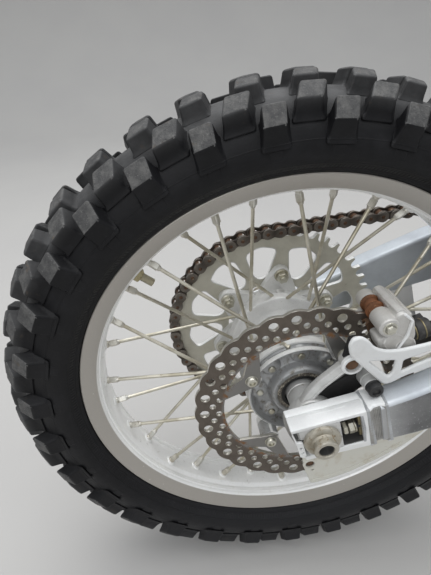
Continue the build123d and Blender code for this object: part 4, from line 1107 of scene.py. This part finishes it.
def arm_end(name, side):
    """Frame with an open window, closed floor, forged neck and the welds that join it."""
    form = Form()
    outer, floor_y = side * ARM_OUTER, side * 103.0
    frame_loop = rounded([(-28.3, 21.8), (-19.3, -25.8), (47, -28.6), (47, 21.8)], 1.6, 3)
    window = rounded([(-27.0, 17.4), (-21.5, -20.4), (41.8, -20.4), (41.8, 17.4)], 2.0, 4)
    travel = []
    for end, first in ((12, -90), (-12, 90)):
        for k in range(9):
            x, z = polar(AXLE_R + 0.7, first + 22.5 * k)
            travel.append((end + x, z))
    plate(form, [frame_loop, window[::-1]], floor_y, outer, 0.9)
    plate(form, [frame_loop, travel[::-1]], side * ARM_INNER, floor_y, 0.9)
    # Painted shade: the window's floor is a dark sheet standing in for the shade deep inside the window.
    plate(form, [window, travel[::-1]], floor_y, floor_y + side * 0.6, 0.1, 4)
    # Painted shade: two dark sheets stand in for the shade inside a recess and inside a hole near the rear of the outer
    # face.
    recess = rounded([(-26.2, 16.6), (-21.0, 16.6), (-21.0, 6.0), (-24.4, 6.0)], 1.2, 3)
    plate(form, [recess], side * 114, side * 115, 0.1, 4)
    hole = rounded([(-26.2, 17.2), (-22.4, 17.2), (-21.6, 9.0), (-24.6, 9.0)], 1.5, 3)
    plate(form, [hole], side * 119.6, side * 120.25, 0.1, 4)
    # Painted shade: a dark strip along the window's bottom edge stands in for the shade there.
    rounded_box(form, 21.0, 41.6, side * 103.7, side * 118.4, -20.5, -19.4, 4)
    cap = []
    for y, bulge in ((94.2, 5.4), (98, 6.0), (104, 5.4), (110, 3.6), (115, 1.4), (117.5, 0.0)):
        back = []
        for k in range(9):
            w = 21.2 - 5.8 * k
            back.append((-28.0 + 0.19 * (21.8 - w) - bulge * sin(radians(22.5 * k)) ** 0.7, side * y, w))
        cap.append(back + [(-19, side * y, -25.2), (-19, side * y, 21.2)])
    form.rings(cap, 3)
    neck = [(46, 94.3, 119.7, -28.4, 21.6), (50, 93.6, 120.3, -29.4, 22.8), (54, 93.8, 117.6, -29.4, 23.0),
            (60, 93.8, 117.2, -29.4, 23.0), (65, 93.6, 120.2, -29.8, 23.8), (67, 94.4, 119.6, -28.9, 22.6)]
    tube(form, neck, side, 3.0, 3, 0)
    for k in range(9):
        u = 51.2 + 1.7 * k
        form.bead([(u, side * 117.6, 20), (u + 0.8, side * 117.4, -4), (u + 0.2, side * 117.6, -26)], 1.7, 0.6,
                  (0, side, 0), 7, 3)
    weld_round(form, 48, side * 94.5, side * 119.8, -28.6, 21.9, 1.6, 4.2, 1)
    weld_round(form, 66, side * 94.5, side * 119.8, -29.0, 23.0, 1.2, 3.6, 1)
    form.bead([(41.5, side * 119.6, 17.6), (42.6, side * 119.6, 0), (41.5, side * 119.6, -20)], 3.4, 1.0,
              (0, side, 0), 3.6, 1)
    holes = [circle(1.5, (-21.9, -4.5), 12)[::-1], circle(1.5, (-21.3, -11.5), 12)[::-1]]
    plate(form, [rounded([(-25.4, 5.2), (-18.8, 3.4), (-18.2, -17.4), (-24.6, -17.2)], 1.0, 2)] + holes,
          side * 118.4, side * 121.4, 0.3, 2)
    form.bead([(-6, side * 107, 21.8), (14, side * 108, 21.8), (30, side * 107.5, 21.8)], 0.9, 0.25, (0, 0, 1), 5, 2)
    finish_piece("arm_end_" + name, form, [WHITE_METAL, WELD, WHITE_METAL, FORGED, DARK_STEEL_AND_SHADE], ARM,
                 ["arm_end_" + name], bevel=0.8, crease=35)


def beam(name, side):
    stations = [(60.5, 94, 120, -29, 22), (92, 94, 120, -30, 25), (128, 94, 120, -29, 31), (180, 94, 120, -27.5, 40),
                (235, 94, 120, -26, 49), (300, 92, 118, -29, 47.7), (371.9, 90, 116, -32, 46)]
    form = Form()
    tube(form, stations, side, 5.0, 1, 0)
    weld_round(form, 370.5, side * 91, side * 116, -31.5, 45.8, 0.0, 7.0, 2)
    finish_piece("beam_" + name, form, [ARM_TOP, ARM_SIDE, WELD], ARM, ["beam_" + name], crease=40)


def axle():
    """Round head with a wide corroded face, hollow shaft, and thread on the left end."""
    form = Form()
    head = [(7.5, -133.5), (8.1, -134.2), (11.2, -134.2), (12.2, -133.2), (12.2, -127.6), (12.9, -126.8),
            (13.3, -125.6), (14.5, -125.4), (16.6, -124.8), (18.2, -123.4), (18.5, -121.6), (18.5, -120.15),
            (12, -120.15)]
    left = [(11.95, 121)]
    for k in range(14):
        left += [(11.9, 121.5 + 1.5 * k), (11.1, 122.2 + 1.5 * k)]
    left += [(10.6, 142.6), (9.6, 143.4), (7.9, 143.4), (7.5, 142.6)]
    form.lathe(head + [(11.95, -120.1)] + left, 56)
    # Painted shade: a dark sleeve lines the hollow shaft, standing in for the shade inside the bore.
    form.lathe([(7.55, -132.4), (7.3, -132.4), (7.3, 141), (7.55, 141)], 40, 1)
    finish_piece("axle", form, [AXLE_STEEL, DARK_STEEL_AND_SHADE], ARM, ["axle"], on_wheel, crease=30)


def axle_nut():
    form = Form()
    form.turned((0, 120.2, 0), (0, 1, 0), [(12.2, 0), (20, 0.1), (20, 1.6), (19.2, 2.2), (12.2, 2.3)], 40)
    outline = [polar(16.8, 60 * k) for k in range(6)]
    outline = rounded(outline, 1.6, 3)
    loops = [[(x, z) for x, z in outline], circle(12.1, steps=36)[::-1]]
    plate(form, loops, 122.4, 132.0, 0.9)
    finish_piece("axle_nut", form, [AXLE_STEEL], ARM, ["axle_nut"], on_wheel, bevel=0.3, crease=30)


def axle_block(name, side):
    form = Form()
    outline = rounded([(-21.2, 17.1), (-20.6, 6), (-15, 4), (-15, -20.1), (20.4, -20.1), (20.4, 17.1)], 1.4, 3)
    plate(form, [outline, circle(AXLE_R + 0.2, steps=40)[::-1]], side * 103.3, side * 119.8, 0.9)
    form.turned((0, side * 119.6, 0), (0, side, 0), [(18.0, 0), (17.6, 0.5), (12.4, 0.5)], 40, 1)
    for k in range(4):
        form.bead([(10 + 3 * k, side * 119.8, 15.5), (10 + 3 * k, side * 119.8, 11.5)], 0.9, 0.25, (0, side, 0), 9, 1)
    finish_piece("axle_block_" + name, form, [BLOCK, CAST], ARM, ["axle_block_" + name], bevel=0.5)


def adjuster(name, side):
    """Bolt with its head against the block, lock nut, and the plated strip behind them."""
    form = Form()
    y, w = side * 111.5, -3.0

    def hexagon(u0, u1, flats, mark=0, turn=0):
        r = flats / 2 / cos(radians(30))
        sections = []
        for u, k in ((u0, 0.9), (u0 + 0.8, 1), (u1 - 0.8, 1), (u1, 0.9)):
            ring = [polar(r * k, turn + 60 * j) for j in range(6)]
            sections.append([(u, y + a, w + b) for a, b in ring])
        form.rings(sections, mark)

    hexagon(23.2, 27.6, 11.6, 0, 20)
    hexagon(28.6, 34.6, 12.6, 0, 50)
    thread = []
    for k in range(13):
        thread += [(3.9, 1.5 * k), (3.3, 1.5 * k + 0.75)]
    form.turned((22.0, y, w), (1, 0, 0), thread, 18, 1)
    form.turned((34.6, y, w), (1, 0, 0), [(6.8, 0), (6.8, 1.4), (5, 1.5)], 24, 0)
    rounded_box(form, 38.8, 41.4, side * 104, side * 114.5, -17, 13.5, 2)
    rounded_box(form, 24.0, 40.0, side * 103.8, side * 107.0, -18, -10.5, 1)
    finish_piece("adjuster_" + name, form, [ZINC, DARK_STEEL_AND_SHADE, BRASS], ARM, ["adjuster_" + name],
                 bevel=0.3)


def spacer(name, side):
    form = Form()
    inner = 52.2 if side < 0 else 52.4
    face = 93.8 if side > 0 else 81.8
    outline = [(12.2, inner), (17.3, inner), (17.5, inner + 1), (17.5, 62), (17.0, 62.5), (17.0, 64.4), (17.5, 65),
               (17.5, face - 2), (16.6, face), (12.2, face)]
    form.lathe([(r, side * y) for r, y in outline], 48)
    finish_piece("spacer_" + name, form, [SMOOTH_CAST], ARM, ["spacer_" + name], on_wheel, crease=25)


def caliper_bracket():
    """Arm from the axle to the lug, and a thin web down to the slide pin, painted near black as shade."""
    form = Form()
    bore = circle(AXLE_R + 0.2, steps=36)[::-1]
    round_axle = circle(23.6, steps=48)
    plate(form, [round_axle, bore], BRACKET_IN - 0.2, -93.8, 1.0)
    arm = [(-4, 8), (4.4, 21.3), (18.9, 33.8), (45.9, 49.6), (50, 56), (45, 64), (38.9, 59.9), (11.9, 44.1),
           (-2.6, 31.6), (-15, 12)]
    plate(form, [rounded(arm, 8, 6)], BRACKET_IN - 2, BRACKET_OUT + 0.5, 1.6)
    plate(form, [circle(10.6, LUG_RING), circle(6.6, LUG_RING)[::-1]], BRACKET_IN - 0.2, BRACKET_OUT + 0.5, 1.2)
    ring = [(10.9, 0), (10.9, 3.4), (9.9, 4.4), (7.7, 4.4), (7.5, 0)]
    form.turned((LUG_RING[0], BRACKET_OUT + 1, LUG_RING[1]), (0, -1, 0), ring, 36, 1)
    # Painted shade: both webs are painted near black to stand in for the shadow that falls on them.
    web = hulled((16, 10, 4), (10.6, *SLIDE_PIN))
    plate(form, [web], BRACKET_IN - 0.2, BRACKET_IN - 3.4, 0.6, 3)
    plate(form, [hulled((9.8, *LUG_RING), (10.4, *SLIDE_PIN))], BRACKET_IN - 0.2, BRACKET_IN - 4.4, 0.6, 3)
    form.bead([(2, -91.4, 24), (17, -91.5, 36.6), (40, -91.6, 50.4)], 2.2, 1.1, (0, -1, 0), 60, 0)
    form.turned((SLIDE_PIN[0], BRACKET_IN - 3, SLIDE_PIN[1]), (0, -1, 0), [(10, 0), (9.6, 5), (9.2, 9)], 28, 0)
    plate(form, [hulled((9.0, *LUG_RING), (5.0, GUARD_LUG[0] - 1, GUARD_LUG[1] - 9))], BRACKET_IN - 3,
          BRACKET_OUT + 2, 1.0, 3)
    bolt = [(6.5, 0), (6.4, 1.2), (5.4, 2.2), (3.2, 2.6), (1.2, 2.2)]
    form.turned((LUG_RING[0], BRACKET_OUT + 0.6, LUG_RING[1]), (0, -1, 0), bolt, 24, 2)
    finish_piece("caliper_bracket", form, [SMOOTH_CAST, WHITE_METAL, RUST, PAINTED_SHADE_CAST], ARM,
                 ["caliper_bracket"], bevel=0.5)


def caliper():
    """Bridge over the disc with grooves and a bright ridge, two halves, and the housing of its pin."""
    form = Form()
    body = [(91, 105), (99, 107), (108, 96), (108, 76), (97, 57), (86, 54), (73, 70), (71, 84), (88, 86)]
    over = [(92, 89), (91, 106), (99, 107), (108, 96), (108, 76), (101.5, 72.5)]
    plate(form, [rounded(body, 4, 4)], CALIPER_OUT, -80, 2.0)
    plate(form, [rounded(body, 4, 4)], -57.5, CALIPER_IN, 2.0)
    plate(form, [rounded(over, 3, 4)], -81, -55, 0.5)
    form.bead([(95.0, CALIPER_IN - 4, 105.6), (95.4, -72, 105.8), (97.0, CALIPER_OUT + 4, 105.6)], 8.5, 2.6,
              (0.05, 0, 1), 400, 0)
    form.bead([(104.4, CALIPER_IN - 6, 100.2), (104.6, -72, 100.2), (105.6, CALIPER_OUT + 4, 99.2)], 4.0, 2.2,
              (0.7, 0, 0.7), 400, 0)
    ridge = [(98.8, CALIPER_OUT + 0.3, 105.4), (104.6, CALIPER_OUT - 1.0, 97), (99.4, CALIPER_OUT - 1.4, 82),
             (88.0, CALIPER_OUT - 0.6, 66)]
    form.bead(ridge, 3.0, 2.0, (0, -1, 0), 400, 2)
    u, w = PAD_PIN
    plate(form, [hulled((9.6, u, w), (11, 95, 90))], CALIPER_OUT + 1.0, -79, 2.0)
    form.turned((u, -78, w), (0, -1, 0), [(9.0, 0), (9.9, 0.9), (9.9, 20.6), (9.0, 21.8), (7.6, 22.2)], 36, 0)
    form.turned((u, CALIPER_OUT - 1.6, w), (0, -1, 0), [(6.9, 0), (6.6, 1.2), (5.4, 1.4), (5.3, 0.5)], 28, 1)
    form.hexagon(8.6, CALIPER_OUT - 1.6, CALIPER_OUT - 5.6, (u, w), 1, 14)
    form.turned((u, CALIPER_OUT - 5.4, w), (0, -1, 0), [(3.4, 0), (2.8, 0.5), (2.0, 0.1), (1.8, -1.2), (0.5, -1.2)],
                20, 1)
    plate(form, [hulled((8.0, u, w), (8.0, 93, 86))], -56.5, CALIPER_IN - 1, 1.6)
    form.turned((u, -57.0, w), (0, 1, 0), [(9.2, 0), (9.2, 10.5), (8.4, 11.8), (6.2, 12.8), (3, 13.0)], 32, 0)
    lower = [(73, 70), (79, 62), (89, 60), (86, 54), (78, 60), (71.5, 68)]
    plate(form, [rounded(lower, 1.5, 3)], CALIPER_OUT - 1.2, CALIPER_OUT + 3, 0.8)
    for u, w in ((86.5, 77), (97, 68)):
        form.turned((u, CALIPER_OUT + 1, w), (0, -1, 0), [(10.5, 0), (10.0, 1.8), (8.6, 2.4), (8.2, 1.8), (0.6, 1.8)],
                    36, 0)
    finish_piece("caliper", form, [CALIPER_METAL, ZINC, WHITE_METAL], ARM, ["caliper"], bevel=0.6)


def brake_pads():
    """Rusty backing plates with dark lining, and the spring clip above them."""
    form = Form()
    shape = rounded([(84, 86), (96, 76), (92, 60), (85, 57), (73, 74), (72, 84)], 2, 3)
    lining = rounded([(84, 83.5), (93, 75), (90, 62.5), (85.5, 60), (75.5, 74), (75, 82)], 2, 3)
    for side in (-1, 1):
        face = DISC_Y + side * (DISC_HALF + 0.3)
        plate(form, [lining], face, face + side * 2.0, 0.3, 1)
        plate(form, [shape], face + side * 2.0, face + side * 4.4, 0.4, 0)
    for k in range(3):
        form.bar((70.5, -76 + 7 * k, 85.2), (76.4, -74.8 + 7 * k, 91), 0.9, 0.9, 8, 0)
    form.rings([[(71.6, -76.2, 86.8), (71.6, -60, 86.8), (73.4, -60, 88.4), (73.4, -76.2, 88.4)],
                [(78.6, -76.2, 87.2), (78.6, -60, 87.2), (78.0, -60, 88.6), (78.0, -76.2, 88.6)]], 0)
    finish_piece("brake_pads", form, [RUST, PAD_METAL], ARM, ["brake_pads"], bevel=0.2)


def slide_pin():
    form = Form()
    sleeve = [(8.8, 0), (8.8, 0.8), (8.4, 1.4), (8.4, 11.6), (8.0, 12.2)]
    form.turned((SLIDE_PIN[0], BRACKET_OUT + 2.0, SLIDE_PIN[1]), (0, -1, 0), sleeve, 32)
    finish_piece("slide_pin", form, [BLOCK], ARM, ["slide_pin"], crease=30)


def pin_cap():
    form = Form()
    profile = [(7.6, 0), (8.0, 0.6), (8.0, 1.4), (7.5, 2.0), (7.5, 7.2), (6.9, 8.3), (5.6, 8.7), (4.3, 8.5),
               (3.9, 7.0), (1.0, 6.8)]
    form.turned((SLIDE_PIN[0], BRACKET_OUT - 9.8, SLIDE_PIN[1]), (0, -1, 0), profile, 36)
    finish_piece("pin_cap", form, [RUBBER], ARM, ["pin_cap"], crease=30)


def pin_boot():
    """Rusty bellows between the two halves of the pin."""
    form = Form()
    profile = [(7.2, 0), (9.0, 0.4), (9.6, 1.2), (9.6, 3.0), (9.0, 3.8), (7.4, 4.4), (7.2, 5.4), (8.1, 6.2), (7.0, 7.4),
               (8.0, 8.6), (7.0, 9.8), (8.2, 11.2), (9.2, 12.0), (9.8, 12.8), (9.8, 15.0), (9.0, 15.8), (7.6, 16.6),
               (7.2, 21.6)]
    form.turned((PAD_PIN[0], -56.6, PAD_PIN[1]), (0, -1, 0), profile, 36)
    finish_piece("pin_boot", form, [BOOT_RUST], ARM, ["pin_boot"], crease=40)


def hose_fitting():
    """Dark cylinder with two brass rings."""
    form = Form()
    start = (108.3, CALIPER_OUT + 13, 71)
    form.turned(start, (1, 0, 0), [(7.6, 0), (8.0, 0.8), (8.0, 3.0)], 32, 0)
    form.turned((111.2, CALIPER_OUT + 13, 71), (1, 0, 0), [(8.6, 0), (8.9, 0.3), (8.9, 1.0), (8.6, 1.3)], 32, 1)
    form.turned((112.4, CALIPER_OUT + 13, 71), (1, 0, 0), [(9.4, 0), (10.0, 0.8), (10.0, 6.4), (9.4, 7.2)], 32, 0)
    form.turned((119.5, CALIPER_OUT + 13, 71), (1, 0, 0), [(9.6, 0), (9.9, 0.3), (9.9, 1.0), (9.6, 1.3)], 32, 1)
    form.turned((120.7, CALIPER_OUT + 13, 71), (1, 0, 0), [(9.2, 0), (9.2, 5.4), (8.0, 6.6), (4.6, 7.0), (4.2, 9.2),
                                                           (3, 9.6)], 32, 0)
    finish_piece("hose_fitting", form, [RUBBER, BRASS], ARM, ["hose_fitting"], crease=30)


def caliper_guard():
    """White rounded casting with two windows and a lug behind it."""
    form = Form()
    outline = [(43, 80), (43, 93), (47, 99), (55, 100), (62, 93), (66, 83), (76, 75), (90, 71), (119, 69), (150, 74),
               (168, 66), (168, 54), (150, 50), (118, 38.5), (93, 37), (78, 32), (70, 33), (64, 44), (50, 68)]
    windows = [[(59.5, 67.5), (84.5, 60), (81.2, 46.5), (76.5, 41.8)],
               [(92, 57.2), (119, 60), (121, 50.5), (105, 47.6), (89, 43.4)]]
    loops = [rounded(outline, 7, 5)] + [rounded(w, 2.4, 4)[::-1] for w in windows]
    plate(form, loops, GUARD_IN - 4, GUARD_IN, 1.8)
    form.turned((GUARD_LUG[0], GUARD_IN + 0.8, GUARD_LUG[1] - 6), (0, 1, 0), [(5.6, 0), (5.4, 8.2)], 28)
    finish_piece("caliper_guard", form, [GUARD], ARM, ["caliper_guard"], bevel=0.0, crease=50)


def disc_guard():
    """Cream fin with a stiffening fold along its edge and a stained ring."""
    form = Form()
    outline = [(-19, -20), (-19, -78), (-20, -93), (-16.3, -125), (6.8, -125), (31.5, -122), (68, -111), (98, -98),
               (122, -83), (118, -70), (60, -30), (30, -20)]
    loops = [rounded(outline, 4, 4), circle(5, (-12.3, -88))[::-1], circle(1.6, (-10.6, -101), 12)[::-1],
             circle(19.2, steps=40)[::-1]]
    plate(form, loops, BRACKET_IN, BRACKET_IN + 3, 0.8)
    ring = [(8.2, 0), (8.2, 1.0), (7.2, 1.6), (5.4, 1.6), (5.2, 0)]
    form.turned((-12.3, BRACKET_IN + 0.4, -88), (0, -1, 0), ring, 32)
    form.turned((-12.3, BRACKET_IN + 2.4, -88), (0, -1, 0), [(5.1, 0), (5.0, 1.6), (3.6, 2.4), (1.2, 2.5)], 20, 1)
    form.bead([(-14, BRACKET_IN, -118), (6, BRACKET_IN, -118), (31, BRACKET_IN, -115), (66, BRACKET_IN, -105),
               (95, BRACKET_IN, -92)], 3.0, 1.2, (0, -1, 0), 400)
    finish_piece("disc_guard", form, [FIN, RUST], ARM, ["disc_guard"], crease=50)


for part in (tyre, rim, spokes, nipples, rim_lock, valve_stem, hub, brake_disc, disc_bolts, sprocket, sprocket_bolts,
             chain, axle, axle_nut, caliper_bracket, caliper, brake_pads, slide_pin, pin_cap, pin_boot, hose_fitting,
             caliper_guard, disc_guard):
    part()
for name, side in (("right", -1), ("left", 1)):
    arm_end(name, side)
    beam(name, side)
    axle_block(name, side)
    adjuster(name, side)
    spacer(name, side)

NODE_FINISHES = {
    "wheel_bearings": DARK_STEEL_AND_SHADE, "wheel_seals": SEAL, "arm_casting": CAST, "pivot_bush_right": SMOOTH_CAST,
    "pivot_bush_left": SMOOTH_CAST, "chain_slider": PLASTIC, "drive_sprocket": DARK_STEEL_AND_SHADE,
    "chain_guide_bracket": WHITE_METAL, "chain_guide": PLASTIC,
}
for node, finish in NODE_FINISHES.items():
    mesh = frame["nodes"][node].data
    mesh.materials.clear()
    mesh.materials.append(finish)


def floor_and_light():
    """Pale sweep behind the part, a sky that is brightest overhead, and two soft panels."""
    half, far, bend, height = 30.0, 2.6, 1.6, 5.0
    z = FLOOR_Z * MM
    profile = [(-half, z), (far, z)]
    for k in range(1, 16):
        a = radians(6 * k)
        profile.append((far + bend * sin(a), z + bend * (1 - cos(a))))
    profile.append((far + bend, z + height))
    points = [(x, y, h) for x in (-half, half) for y, h in profile]
    count = len(profile)
    mesh = bpy.data.meshes.new("floor")
    mesh.from_pydata(points, [], [[k, k + 1, count + k + 1, count + k] for k in range(count - 1)])
    mesh.shade_smooth()
    floor = bpy.data.objects.new("floor", mesh)
    bpy.context.scene.collection.objects.link(floor)
    f = Finish("floor_pale", (0.52, 0.51, 0.495), 0.0, 0.9, 0.1)
    f.lay(f.band(f.noise(400, 3), 0.3, 0.8), (0.50, 0.49, 0.48))
    mesh.materials.append(f.done())

    world = bpy.data.worlds.new("studio")
    bpy.context.scene.world = world
    world.use_nodes = True
    nodes, links = world.node_tree.nodes, world.node_tree.links
    place = nodes.new("ShaderNodeTexCoord")
    apart = nodes.new("ShaderNodeSeparateXYZ")
    ramp = nodes.new("ShaderNodeValToRGB")
    links.new(place.outputs["Generated"], apart.inputs[0])
    links.new(apart.outputs["Z"], ramp.inputs[0])
    links.new(ramp.outputs[0], nodes["Background"].inputs[0])
    low, high = ramp.color_ramp.elements
    low.position, low.color = 0.05, (*SKY_LOW, 1)
    high.position, high.color = 0.85, (*SKY_HIGH, 1)
    nodes["Background"].inputs[1].default_value = SKY_STRENGTH

    for name, place, size, power, aim in (
            ("sky_panel", (-0.5, 0.3, 2.0), 2.4, 40, AXLE * MM),
            ("front_panel", (-1.4, -1.7, 1.0), 1.4, 7, AXLE * MM)):
        light = bpy.data.lights.new(name, "AREA")
        light.size = size
        light.energy = power
        lamp = bpy.data.objects.new(name, light)
        bpy.context.scene.collection.objects.link(lamp)
        lamp.location = place
        lamp.rotation_euler = (Vector(aim) - Vector(place)).to_track_quat("-Z", "Y").to_euler()


def camera():
    data = bpy.data.cameras.new("camera")
    data.lens = CAMERA_LENS
    data.shift_x, data.shift_y = CAMERA_SHIFT
    data.clip_start = 0.02
    eye = bpy.data.objects.new("camera", data)
    bpy.context.scene.collection.objects.link(eye)
    eye.location = (AXLE + CAMERA_PLACE) * MM
    eye.rotation_euler = [radians(a) for a in CAMERA_TURN]
    bpy.context.scene.camera = eye


floor_and_light()
camera()
bpy.context.scene.view_settings.view_transform = "Standard"
